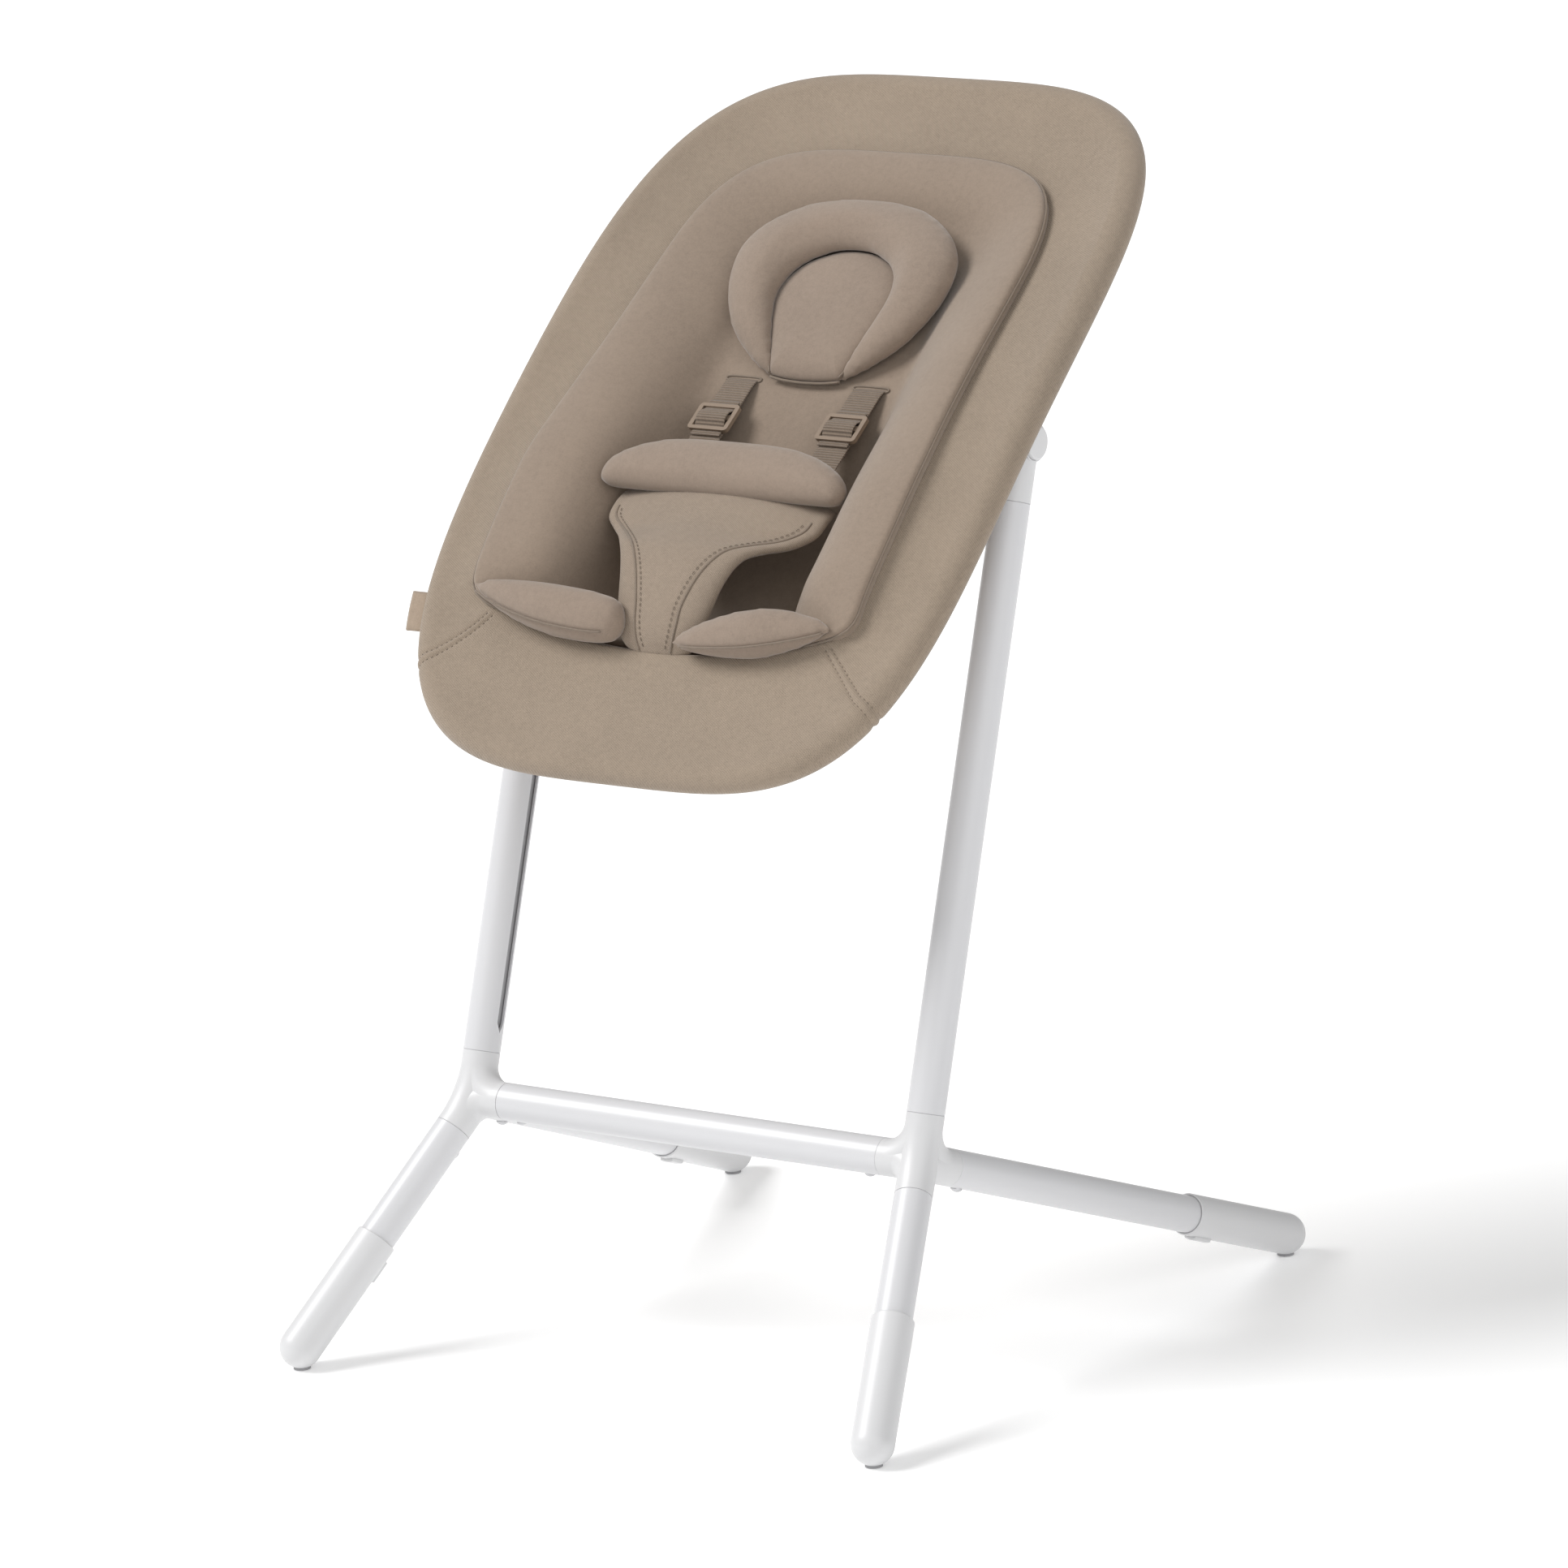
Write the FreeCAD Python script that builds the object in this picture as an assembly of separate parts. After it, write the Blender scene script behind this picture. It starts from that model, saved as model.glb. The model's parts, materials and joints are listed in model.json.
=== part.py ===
import FreeCAD, Part
import math
import os

# A newborn bouncer seat on a four-legged tube stand.
# Millimetres, +Z up. The sitter faces -Y. The origin is on the floor, midway between the feet.
# "right" is the +X side, seen from the front, and every left piece is the mirror of a right one.

V = FreeCAD.Vector

# Stand
TUBE_R = 13.0
TUBE_WALL = 1.8
SPIGOT_R = TUBE_R - TUBE_WALL - 0.1
SPIGOT_LENGTH = 26.0
SPIGOT_FLAT_X = 7.0
RAIL_ABOVE_HUB = 5.0
HUB = V(186.0, -112.2, 162.2)
FOOT_X = 238.6
FOOT_Y = 257.1
FOOT_R = 14.7
PAD_STANDS_OUT = 0.5
LEAN = math.radians(19.33)
UPRIGHT_ARM = 32.0
CROSSBAR_ARM = 27.0
FRONT_ARM = 27.0
REAR_ARM = 30.0
FRONT_SLEEVE = 92.0
REAR_SLEEVE = 112.0
SLOT_WIDTH = 7.0
SEAM_CHAMFER = 0.5

# Recline pivot, on the axis of the uprights
PIVOT_Z = 622.0
HEAD_SEAM_Z = 583.3
PIN_R = 6.0
PIN_PLAY = 0.06
BUTTON_R = 11.6
BUTTON_FACE_X = 201.5
BUTTON_DEPTH = 9.5
POCKET_DEPTH = 13.5
POCKET_PLAY = 0.3
PIN_HEAD_X = (142.4, 145.7)
PIN_HEAD_R = 9.0

# Seat plane: "a" runs from the foot end to the head end, "h" stands square to it
SEAT_TILT = math.radians(39.7)
RIM_HALF_WIDTH = 202.0
RIM_HALF_LENGTH = 289.6
RIM_CENTRE_A = -5.6
RIM_POWER = 3.9
RIM_TUBE_R = 9.0
RIM_TUBE_WALL = 1.4
RIM_TURN_STEP = 1e-4
RIM_TOP_H = 26.3
RIM_TOP_A = 48.6
RIM_ARCH = 2.52e-4
SIDE_TUBE_A = 150.0
FABRIC_GAP = 1.5
PANEL_THICKNESS = 6.0
PANEL_DROP = 2.0

# Liner: (a, h) points down the middle of its upper face, then (a, x, h) of its side ridge
FLOOR = [(200.0, 19.0), (25.0, 4.0), (-60.0, -8.0), (-140.0, -28.0)]
RIDGE = [
    (-178.0, 150.0, 41.0),
    (-140.0, 159.0, 47.0),
    (-60.0, 158.0, 51.0),
    (25.0, 151.5, 44.5),
    (100.0, 148.0, 37.5),
    (150.0, 144.0, 34.5),
    (186.0, 129.0, 30.0),
]
LINER_THICKNESS = 13.5
SLING_THICKNESS = 6.0
WELL_HALF_WIDTH = 79.0
SLING_HALF_WIDTH = 134.0
RIDGE_HEIGHT = 10.0

STRAP_X = 53.0
STRAP_WIDTH = 25.0

UP = V(0, 0, 1)
LEFTWARD = V(-1, 0, 0)
ALONG_UPRIGHT = V(0, math.sin(LEAN), math.cos(LEAN))
PIVOT_Y = HUB.y + (PIVOT_Z - HUB.z) * math.tan(LEAN)
PIVOT = V(HUB.x, PIVOT_Y, PIVOT_Z)
FOOT_Z = FOOT_R + PAD_STANDS_OUT
FRONT_FOOT = V(FOOT_X, -FOOT_Y, FOOT_Z)
REAR_FOOT = V(FOOT_X, FOOT_Y, FOOT_Z)


def save(name, shape):
    """One node is one STEP file."""
    shape.exportStep(f"parts/{name}.step")


def save_pair(name, right):
    """Writes the right piece and its mirror image on the left."""
    save(f"right_{name}", right)
    save(f"left_{name}", right.mirror(V(0, 0, 0), V(1, 0, 0)))


def unit(vector):
    """The same direction at length 1."""
    return V(vector).normalize()


def rod(start, end, radius):
    """A solid cylinder from one point to another."""
    return Part.makeCylinder(radius, (end - start).Length, start, end - start)


def pipe(start, end, outer, inner):
    """A straight tube with softened outer ends, so that each seam shows."""
    body = rod(start, end, outer).cut(rod(start, end, inner))
    ends = [edge for edge in body.Edges if edge.Curve.TypeId == "Part::GeomCircle"]
    ends = [edge for edge in ends if abs(edge.Curve.Radius - outer) < 1e-6]
    return body.makeChamfer(SEAM_CHAMFER, ends)


def x_disc(x0, x1, radius, at=PIVOT):
    """A cylinder along X between two x values, centred on a point's y and z."""
    return Part.makeCylinder(radius, x1 - x0, V(x0, at.y, at.z), V(1, 0, 0))


def seat_point(x, a, h):
    """A point of the tilted seat frame, in the object's own frame."""
    y = PIVOT_Y + a * math.cos(SEAT_TILT) - h * math.sin(SEAT_TILT)
    z = PIVOT_Z + a * math.sin(SEAT_TILT) + h * math.cos(SEAT_TILT)
    return V(x, y, z)


def seat_prism(profile, x0, x1):
    """Extrudes an (a, h) outline along X."""
    corners = [seat_point(x0, a, h) for a, h in profile + profile[:1]]
    return Part.Face(Part.makePolygon(corners)).extrude(V(x1 - x0, 0, 0))


def seat_loft(sections):
    """A ruled solid through outlines of (x, a, h) corners."""
    wires = []
    for section in sections:
        wires.append(Part.makePolygon([seat_point(*corner) for corner in section + section[:1]]))
    return Part.makeLoft(wires, True, True)


def along(table, a):
    """Reads a height off a polyline of (a, h) points that runs from the head to the foot."""
    for (a1, h1), (a2, h2) in zip(table, table[1:]):
        if a >= a2 or (a2, h2) == table[-1]:
            return h1 + (h2 - h1) * (a - a1) / (a2 - a1)


def rim_h(a):
    """Height of the rim's arch."""
    return RIM_TOP_H - RIM_ARCH * (a - RIM_TOP_A) ** 2


def rim_x(a):
    """Half width of the rim's superellipse at a."""
    reach = abs(a - RIM_CENTRE_A) / RIM_HALF_LENGTH
    return RIM_HALF_WIDTH * (1 - reach ** RIM_POWER) ** (1 / RIM_POWER)


def rim_reach(x):
    """Half length of the rim's superellipse at x."""
    return RIM_HALF_LENGTH * (1 - abs(x / RIM_HALF_WIDTH) ** RIM_POWER) ** (1 / RIM_POWER)


def rim_inset(outline, at):
    """How far an edge moves in from the rim's line, at this place, to stay clear of its tube."""
    slope = outline(at + 0.5) - outline(at - 0.5)
    return (RIM_TUBE_R + FABRIC_GAP) * math.hypot(1, slope)


# ---------------------------------------------------------------- stand

def elbow(corner, first, second, bend):
    """A round fillet of tube thickness in the corner between two arms."""
    half = first.getAngle(second) / 2
    tangent = bend / math.tan(half)
    middle = corner + unit(first + second) * (bend / math.sin(half) - bend)
    arc = Part.Arc(corner + first * tangent, middle, corner + second * tangent).toShape()
    ring = Part.Circle(corner + first * tangent, first, TUBE_R - 0.1).toShape()
    return Part.Wire([arc]).makePipeShell([Part.Wire([ring])], True, False)


def hub_arms():
    """Direction and length of each arm of the right hub."""
    front = unit(FRONT_FOOT - HUB)
    rear = unit(REAR_FOOT - HUB)
    arms = [(ALONG_UPRIGHT, UPRIGHT_ARM), (LEFTWARD, CROSSBAR_ARM)]
    return arms + [(front, FRONT_ARM), (rear, REAR_ARM)]


def hub():
    """Cast node where upright, crossbar and both legs meet, with a spigot into each tube."""
    arms = hub_arms()
    upright, crossbar, front, rear = [direction for direction, _ in arms]
    pieces = [rod(HUB, HUB + direction * length, TUBE_R) for direction, length in arms]
    for direction, length in arms:
        pieces.append(rod(HUB, HUB + direction * (length + SPIGOT_LENGTH), SPIGOT_R))
    pieces += [
        elbow(HUB, upright, crossbar, 25),
        elbow(HUB, upright, front, 100),
        elbow(HUB, upright, rear, 25),
        elbow(HUB, front, rear, 32),
        elbow(HUB, crossbar, front, 20),
        elbow(HUB, crossbar, rear, 20),
    ]
    body = Part.makeSphere(TUBE_R, HUB).fuse(pieces).removeSplitter()
    return body.cut(rail_clearance())


def rail_clearance():
    """Space beside the upright's spigot for the lower end of the guide rail."""
    low = HUB + ALONG_UPRIGHT * (UPRIGHT_ARM + RAIL_ABOVE_HUB - 1) - V(SPIGOT_FLAT_X, 0, 0)
    high = low + ALONG_UPRIGHT * SPIGOT_LENGTH
    across = V(0, math.cos(LEAN), -math.sin(LEAN)) * TUBE_R
    corners = [low + across, low - across, high - across, high + across]
    return Part.Face(Part.makePolygon(corners + corners[:1])).extrude(V(-TUBE_R, 0, 0))


def frame_screws():
    """Domed screws under the tubes, each with the direction it points in."""
    screws = []
    for direction, length in hub_arms()[1:]:
        down = unit(UP * -1 + direction * direction.dot(UP))
        seat = HUB + direction * (length + 13) + down * (TUBE_R - 0.7)
        head = Part.makeCylinder(4, 1.2, seat, down)
        column = Part.makeCylinder(4, 4, seat + down * 1.2, down)
        dome = Part.makeSphere(5.2, seat - down * 2.1).common(column)
        shank = Part.makeCylinder(2, 7, seat - down * 7, down)
        screws.append(head.fuse([dome, shank]).removeSplitter())
    return screws


def without_screws(shape, screws):
    """Cuts the screws' seats and holes."""
    return shape.cut(screws)


def upright():
    """Leaning tube with a long slot on its inward face, pointed at its lower end."""
    start = HUB + ALONG_UPRIGHT * UPRIGHT_ARM
    end = PIVOT - ALONG_UPRIGHT * ((PIVOT_Z - HEAD_SEAM_Z) / math.cos(LEAN))
    tube = pipe(start, end, TUBE_R, TUBE_R - TUBE_WALL)
    across = V(0, math.cos(LEAN), -math.sin(LEAN))
    low = start + ALONG_UPRIGHT * 14
    high = end - ALONG_UPRIGHT * 22
    half = SLOT_WIDTH / 2
    corners = [low, low + ALONG_UPRIGHT * 7 + across * half, high + across * half]
    corners += [high - across * half, low + ALONG_UPRIGHT * 7 - across * half]
    outline = Part.makePolygon(corners + corners[:1])
    slot = Part.Face(outline).extrude(V(-2 * TUBE_R, 0, 0))
    return tube.cut(slot)


def guide_rail():
    """Grey strip inside the upright, seen through its slot."""
    start = HUB + ALONG_UPRIGHT * (UPRIGHT_ARM + RAIL_ABOVE_HUB)
    length = (PIVOT_Z - HEAD_SEAM_Z) / math.cos(LEAN) + SPIGOT_LENGTH + 1
    end = PIVOT - ALONG_UPRIGHT * length
    across = V(0, math.cos(LEAN), -math.sin(LEAN)) * 6
    inward = V(-9.3, 0, 0)
    base = [start + across, start - across, end - across, end + across]
    base = [corner + inward for corner in base]
    return Part.Face(Part.makePolygon(base + base[:1])).extrude(V(2, 0, 0))


def head():
    """Moulded adapter on top of the upright, with the pin's bore and the button's pocket."""
    seam = PIVOT - ALONG_UPRIGHT * ((PIVOT_Z - HEAD_SEAM_Z) / math.cos(LEAN))
    inner = HUB.x - TUBE_R
    outer = HUB.x + TUBE_R
    neck = rod(seam, PIVOT, TUBE_R)
    spigot = rod(seam - ALONG_UPRIGHT * SPIGOT_LENGTH, PIVOT, SPIGOT_R)
    boss = x_disc(inner, outer, TUBE_R)
    body = neck.common(x_disc(inner, outer, 60)).fuse([spigot, boss]).removeSplitter()
    pin_bore = x_disc(inner - 1, HUB.x, PIN_R)
    pocket = x_disc(BUTTON_FACE_X - POCKET_DEPTH, outer + 1, BUTTON_R + POCKET_PLAY)
    return body.cut([pin_bore, pocket])


def release_button():
    """Round button in the outer face of the head, with a softened rim."""
    button = x_disc(BUTTON_FACE_X - BUTTON_DEPTH, BUTTON_FACE_X, BUTTON_R)
    rim = [edge for edge in button.Edges if edge.BoundBox.XMin > BUTTON_FACE_X - 0.1]
    return button.makeFillet(1.6, rim)


def pivot_pin():
    """Fixed pin that carries the lock arm and the seat bracket."""
    shaft = x_disc(PIN_HEAD_X[1], HUB.x, PIN_R)
    return x_disc(*PIN_HEAD_X, PIN_HEAD_R).fuse(shaft).removeSplitter()


def leg_parts(foot, arm, sleeve):
    """Tube, sleeve foot, press-in latch and glide pad of one leg."""
    axis = unit(foot - HUB)
    down = unit(UP * -1 + axis * axis.dot(UP))
    side = axis.cross(down)
    mouth = foot - axis * sleeve
    tube = pipe(HUB + axis * arm, foot - axis * 22, TUBE_R, TUBE_R - TUBE_WALL)
    shell = rod(mouth, foot, FOOT_R).fuse(Part.makeSphere(FOOT_R, foot)).removeSplitter()
    shell = shell.cut(rod(mouth - axis, foot - axis * 21, TUBE_R + 0.1))
    lip = [edge for edge in shell.Edges if edge.CenterOfMass.distanceToPoint(mouth) < 0.1]
    shell = shell.makeChamfer(0.6, [edge for edge in lip if edge.BoundBox.DiagonalLength > 2 * FOOT_R])
    pad = Part.makeCylinder(6, 3, V(foot.x, foot.y, 0))
    pad_seat = Part.makeCylinder(6.1, 3.1, V(foot.x, foot.y, 0))
    window = tab(mouth, axis, down, side, 0.25)
    latch = tab(mouth, axis, down, side, 0).common(rod(mouth, foot, FOOT_R + 2.4))
    latch = latch.makeFillet(1.2, [edge for edge in latch.Edges if outermost(edge, mouth, axis)])
    return tube.cut(window), shell.cut([pad_seat, window]), latch, pad


def tab(mouth, axis, down, side, grow):
    """The block that the latch is cut from, standing square on the leg."""
    corner = mouth + axis * (9 - grow) - side * (5 + grow) + down * (8.6 - 12 * grow)
    width = 10 + 2 * grow
    length = 17 + 2 * grow
    face = Part.makePolygon([corner, corner + side * width, corner + side * width + axis * length,
                             corner + axis * length, corner])
    return Part.Face(face).extrude(down * (14 + 12 * grow))


def outermost(edge, mouth, axis):
    """True for an edge of the latch that lies on its outer face."""
    offset = edge.CenterOfMass - mouth
    return (offset - axis * offset.dot(axis)).Length > FOOT_R + 1.9


def build_stand():
    """Everything that stands on the floor and stays still."""
    right_screws = frame_screws()
    left_screws = [screw.mirror(V(0, 0, 0), V(1, 0, 0)) for screw in right_screws]
    save("frame_screws", Part.makeCompound(right_screws + left_screws))
    save_pair("hub", without_screws(hub(), right_screws))
    save_pair("upright", upright())
    save_pair("guide_rail", guide_rail())
    save_pair("head", head())
    save_pair("pivot_pin", pivot_pin())
    save_pair("release_button", release_button())
    end = V(HUB.x - CROSSBAR_ARM, HUB.y, HUB.z)
    crossbar = pipe(V(-end.x, end.y, end.z), end, TUBE_R, TUBE_R - TUBE_WALL)
    save("crossbar", without_screws(crossbar, right_screws + left_screws))
    pads = []
    for name, foot, arm, sleeve in [
        ("front", FRONT_FOOT, FRONT_ARM, FRONT_SLEEVE),
        ("rear", REAR_FOOT, REAR_ARM, REAR_SLEEVE),
    ]:
        tube, shell, latch, pad = leg_parts(foot, arm, sleeve)
        save_pair(f"{name}_leg", without_screws(tube, right_screws))
        save_pair(f"{name}_foot", shell)
        save_pair(f"{name}_foot_latch", latch)
        pads += [pad, pad.mirror(V(0, 0, 0), V(1, 0, 0))]
    save("glide_pads", Part.makeCompound(pads))


# ---------------------------------------------------------------- reclining carrier

LOCK_R = 16.5
CROSS_TUBE_A = -34.0
CROSS_TUBE_H = -48.0
CROSS_TUBE_R = 8.0
LOCK_X = (160.3, 171.7)
LOCK_ARM_HALF_WIDTH = 9.0
BRACKET_X = (146.0, 159.7)


def lock_arm():
    """Notched locking disc with an arm down to the cross tube."""
    disc = x_disc(*LOCK_X, LOCK_R)
    notches = []
    for index in range(18):
        turn = math.radians(20 * index)
        at = seat_point(0, LOCK_R * math.cos(turn), LOCK_R * math.sin(turn))
        notches.append(x_disc(LOCK_X[1] - 3, LOCK_X[1] + 1, 1.4, at))
    disc = disc.cut(notches)
    reach = math.hypot(CROSS_TUBE_A, CROSS_TUBE_H)
    across_a = -LOCK_ARM_HALF_WIDTH * CROSS_TUBE_H / reach
    across_h = LOCK_ARM_HALF_WIDTH * CROSS_TUBE_A / reach
    outline = [
        (across_a, across_h),
        (-across_a, -across_h),
        (CROSS_TUBE_A - across_a, CROSS_TUBE_H - across_h),
        (CROSS_TUBE_A + across_a, CROSS_TUBE_H + across_h),
    ]
    plate = seat_prism(outline, LOCK_X[0] + 0.7, LOCK_X[1] - 0.7)
    socket = x_disc(LOCK_X[0] - 3, LOCK_X[1] - 0.7, 12, seat_point(0, CROSS_TUBE_A, CROSS_TUBE_H))
    return disc.fuse([plate, socket]).removeSplitter().cut(x_disc(100, 180, PIN_R + PIN_PLAY))


def cross_tube():
    """Tube under the seat that turns both locking discs together."""
    at = seat_point(0, CROSS_TUBE_A, CROSS_TUBE_H)
    reach = LOCK_X[0] - 3
    return pipe(V(-reach, at.y, at.z), V(reach, at.y, at.z), CROSS_TUBE_R, CROSS_TUBE_R - RIM_TUBE_WALL)


def build_carrier():
    """The body that reclines and locks."""
    save_pair("lock_arm", lock_arm())
    save("cross_tube", cross_tube())


# ---------------------------------------------------------------- seat frame

def rim_point(turn):
    """Point of the rim's centre line; turn 0 is the right side, 90 degrees is the head end."""
    across = math.copysign(abs(math.cos(turn)) ** (2 / RIM_POWER), math.cos(turn))
    ahead = math.copysign(abs(math.sin(turn)) ** (2 / RIM_POWER), math.sin(turn))
    a = RIM_CENTRE_A + RIM_HALF_LENGTH * ahead
    return seat_point(RIM_HALF_WIDTH * across, a, rim_h(a))


def rim_turn(a):
    """The turn at which the right side of the rim passes a."""
    reach = (a - RIM_CENTRE_A) / RIM_HALF_LENGTH
    return math.copysign(math.asin(abs(reach) ** (RIM_POWER / 2)), reach)


def rim_heading(turn):
    """Unit direction of the rim's centre line at a turn."""
    return unit(rim_point(turn + RIM_TURN_STEP) - rim_point(turn - RIM_TURN_STEP))


def tangent_arc(start, heading, end):
    """The circular arc that leaves a point along a heading and reaches another point."""
    chord = unit(end - start)
    ahead = heading.dot(chord)
    bulge = (heading - chord * ahead) * ((end - start).Length / 2 / (1 + ahead))
    return Part.Arc(start, (start + end) / 2 + bulge, end).toShape()


def biarc(start, end):
    """Two arcs with a shared tangent between two turns of the rim."""
    first, last = rim_point(start), rim_point(end)
    leaving, arriving = rim_heading(start), rim_heading(end)
    chord = last - first
    reach = chord.dot(leaving + arriving)
    spread = 2 * (1 - leaving.dot(arriving))
    arm = (math.sqrt(reach ** 2 + spread * chord.dot(chord)) - reach) / spread
    middle = (first + last + (leaving - arriving) * arm) / 2
    return [tangent_arc(first, leaving, middle), tangent_arc(last, arriving * -1, middle)]


def rim_tube(start, end, count):
    """A hollow length of the rim between two turns, bent in arcs."""
    turns = [start + (end - start) * index / count for index in range(count + 1)]
    arcs = [arc for pair in zip(turns, turns[1:]) for arc in biarc(*pair)]
    at = rim_point(start)
    heading = unit(rim_point(start + (end - start) * 1e-5) - at)
    spine = Part.Wire(Part.__sortEdges__(arcs))
    tubes = []
    for radius in (RIM_TUBE_R, RIM_TUBE_R - RIM_TUBE_WALL):
        ring = Part.Wire([Part.Circle(at, heading, radius).toShape()])
        tubes.append(spine.makePipe(Part.Face(ring)))
    return tubes[0].cut(tubes[1])


def seat_bracket():
    """Disc on the pivot pin with an arm over the head of the stand to the rim."""
    disc = x_disc(*BRACKET_X, 19)
    web = seat_prism([(-16, 0), (16, 0), (20, 22.2), (-20, 22.2)], *BRACKET_X)
    arm = seat_prism([(-20, 17.2), (20, 17.2), (20, 22.2), (-20, 22.2)], BRACKET_X[0], 199)
    body = disc.fuse([web, arm]).removeSplitter().cut(x_disc(100, 180, PIN_R + PIN_PLAY))
    rim = rod(rim_point(rim_turn(-40)), rim_point(rim_turn(40)), RIM_TUBE_R + 0.4)
    return body.cut(rim)


def build_seat_frame():
    """Rim tubes and the brackets that carry them."""
    side = rim_turn(SIDE_TUBE_A)
    foot = rim_turn(-SIDE_TUBE_A)
    save_pair("side_tube", rim_tube(foot, side, 2))
    save("head_bow", rim_tube(side, math.pi - side, 8))
    save("foot_bow", rim_tube(-math.pi - foot, foot, 8))
    save_pair("seat_bracket", seat_bracket())


# ---------------------------------------------------------------- soft parts

def ridge(a):
    """The (x, h) of the liner's side ridge at a."""
    for (a1, x1, h1), (a2, x2, h2) in zip(RIDGE, RIDGE[1:]):
        if a <= a2 or a2 == RIDGE[-1][0]:
            part = max(0.0, min(1.0, (a - a1) / (a2 - a1)))
            return x1 + (x2 - x1) * part, h1 + (h2 - h1) * part


def side_panel():
    """Cover between the rim and the liner on one side."""
    sections = []
    for a in (-205, -140, -60, 25, 100, 150, 200):
        inner, ridge_h = ridge(a)
        outer = rim_x(a) - rim_inset(rim_x, a)
        high = ridge_h - RIDGE_HEIGHT
        edge = rim_h(a)
        section = [(inner + FABRIC_GAP, a, high - PANEL_THICKNESS), (outer, a, edge)]
        sections.append(section + [(outer, a, edge + PANEL_THICKNESS), (inner + FABRIC_GAP, a, high)])
    return seat_loft(sections)


def end_panel(direction, inner_a, drop):
    """Cover between the rim and the liner at the head or foot end."""
    sections = []
    for x in (-172, -150, -110, -60, 0, 60, 110, 150, 172):
        outer = RIM_CENTRE_A + direction * (rim_reach(x) - rim_inset(rim_reach, x))
        low = rim_h(outer) - PANEL_DROP
        inner = rim_h(inner_a) - PANEL_DROP - drop * (1 - (x / 172) ** 2)
        section = [(x, inner_a, inner), (x, outer, low), (x, outer, low + PANEL_THICKNESS)]
        sections.append(section + [(x, inner_a, inner + PANEL_THICKNESS)])
    return seat_loft(sections)


def layer(table, top, thickness, half_width):
    """A pad that follows the floor line at a given distance below it."""
    upper = [(a, h - top) for a, h in table]
    lower = [(a, h - top - thickness) for a, h in reversed(table)]
    return seat_prism(upper + lower, -half_width, half_width)


def sling_top(a):
    """Height of the sling's upper face."""
    return along(FLOOR, a) - LINER_THICKNESS - 0.5


def wing():
    """Wedge-shaped side cushion of the liner, up to its ridge."""
    sections = []
    for a, top_x, top_h in RIDGE:
        floor_a = max(a, FLOOR[-1][0])
        crease = along(FLOOR, floor_a) + max(0.0, floor_a - a) * 0.3
        bottom = sling_top(floor_a) + 0.5
        bottom_x = min(SLING_HALF_WIDTH, top_x - 8)
        sections.append([
            (WELL_HALF_WIDTH + 1, a, crease),
            (top_x, a, top_h),
            (top_x, a, top_h - RIDGE_HEIGHT),
            (bottom_x + 4, a, rim_h(a) - 4),
            (bottom_x, a, bottom),
            (WELL_HALF_WIDTH + 2, a, bottom),
        ])
    return seat_loft(sections)


def front_wall():
    """Front of the well, below the thighs."""
    foot_a, foot_h = FLOOR[-1]
    low = foot_h - LINER_THICKNESS - SLING_THICKNESS
    profile = [(foot_a - 1, foot_h), (-203, 10), (-210, 4), (foot_a - 8, low), (foot_a - 1, low)]
    half_width = WELL_HALF_WIDTH - 1
    return seat_prism(profile, -half_width, half_width)


def ellipsoid(centre, first, second, third):
    """A rounded cushion with the given half axes."""
    columns = FreeCAD.Matrix(
        first.x, second.x, third.x, centre.x,
        first.y, second.y, third.y, centre.y,
        first.z, second.z, third.z, centre.z,
        0, 0, 0, 1,
    )
    return Part.makeSphere(1).transformGeometry(columns)


def thigh_pad():
    """Lens-shaped cushion across the front edge of the well."""
    centre = seat_point(86, -203, 30)
    length = seat_point(144, -193, 37) - centre
    width = seat_point(86 - 2.8, -203 + 16.5, 30) - centre
    depth = unit(length.cross(width)) * 11
    return ellipsoid(centre, length, width, depth)


def pillow_slab(half_x, half_a, centre_a, lift, thickness, grow=0.0):
    """An elliptical pad that lies parallel to the back."""
    slope = math.atan2(FLOOR[0][1] - FLOOR[1][1], FLOOR[0][0] - FLOOR[1][0])
    ahead = unit(seat_point(0, math.cos(slope), math.sin(slope)) - seat_point(0, 0, 0))
    normal = V(1, 0, 0).cross(ahead)
    centre = seat_point(0, centre_a, along(FLOOR, centre_a)) + normal * lift
    major, minor = max(half_x, half_a) + grow, min(half_x, half_a) + grow
    toward = V(1, 0, 0) if half_x > half_a else ahead
    ellipse = Part.Ellipse(centre + toward * major, centre + normal.cross(toward) * minor, centre)
    return Part.Face(Part.Wire([ellipse.toShape()])).extrude(normal * thickness)


def head_pillow():
    """Horseshoe cushion and the thinner pad inside it."""
    opening = (46, 54, 78)
    seam_gap = 0.5
    outer = pillow_slab(90, 73, 102, 4, 22)
    inside = pillow_slab(*opening, 4, 12)
    ring = outer.cut(pillow_slab(*opening, -10, 60, seam_gap))
    ring = max(ring.Solids, key=lambda solid: solid.Volume)
    return ring, inside.common(outer)


def strap_h(a):
    """Underside of the shoulder strap."""
    return 6.0 + (27.0 - a) / 11.0


def strap():
    """Shoulder strap from its slot in the liner to the clip under the bumper."""
    x0 = STRAP_X - STRAP_WIDTH / 2
    profile = [(27, strap_h(27)), (-50, strap_h(-50)), (-50, strap_h(-50) + 1.6), (27, strap_h(27) + 1.6)]
    return seat_prism(profile, x0, x0 + STRAP_WIDTH)


def strap_clip():
    """Clip on the lower end of the shoulder strap."""
    low = strap_h(-50) - 1.6
    profile = [(-50, low), (-62, low), (-62, low + 4.8), (-50, low + 4.8)]
    body = seat_prism(profile, STRAP_X - 13, STRAP_X + 13)
    return body.makeFillet(1, body.Edges)


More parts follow.
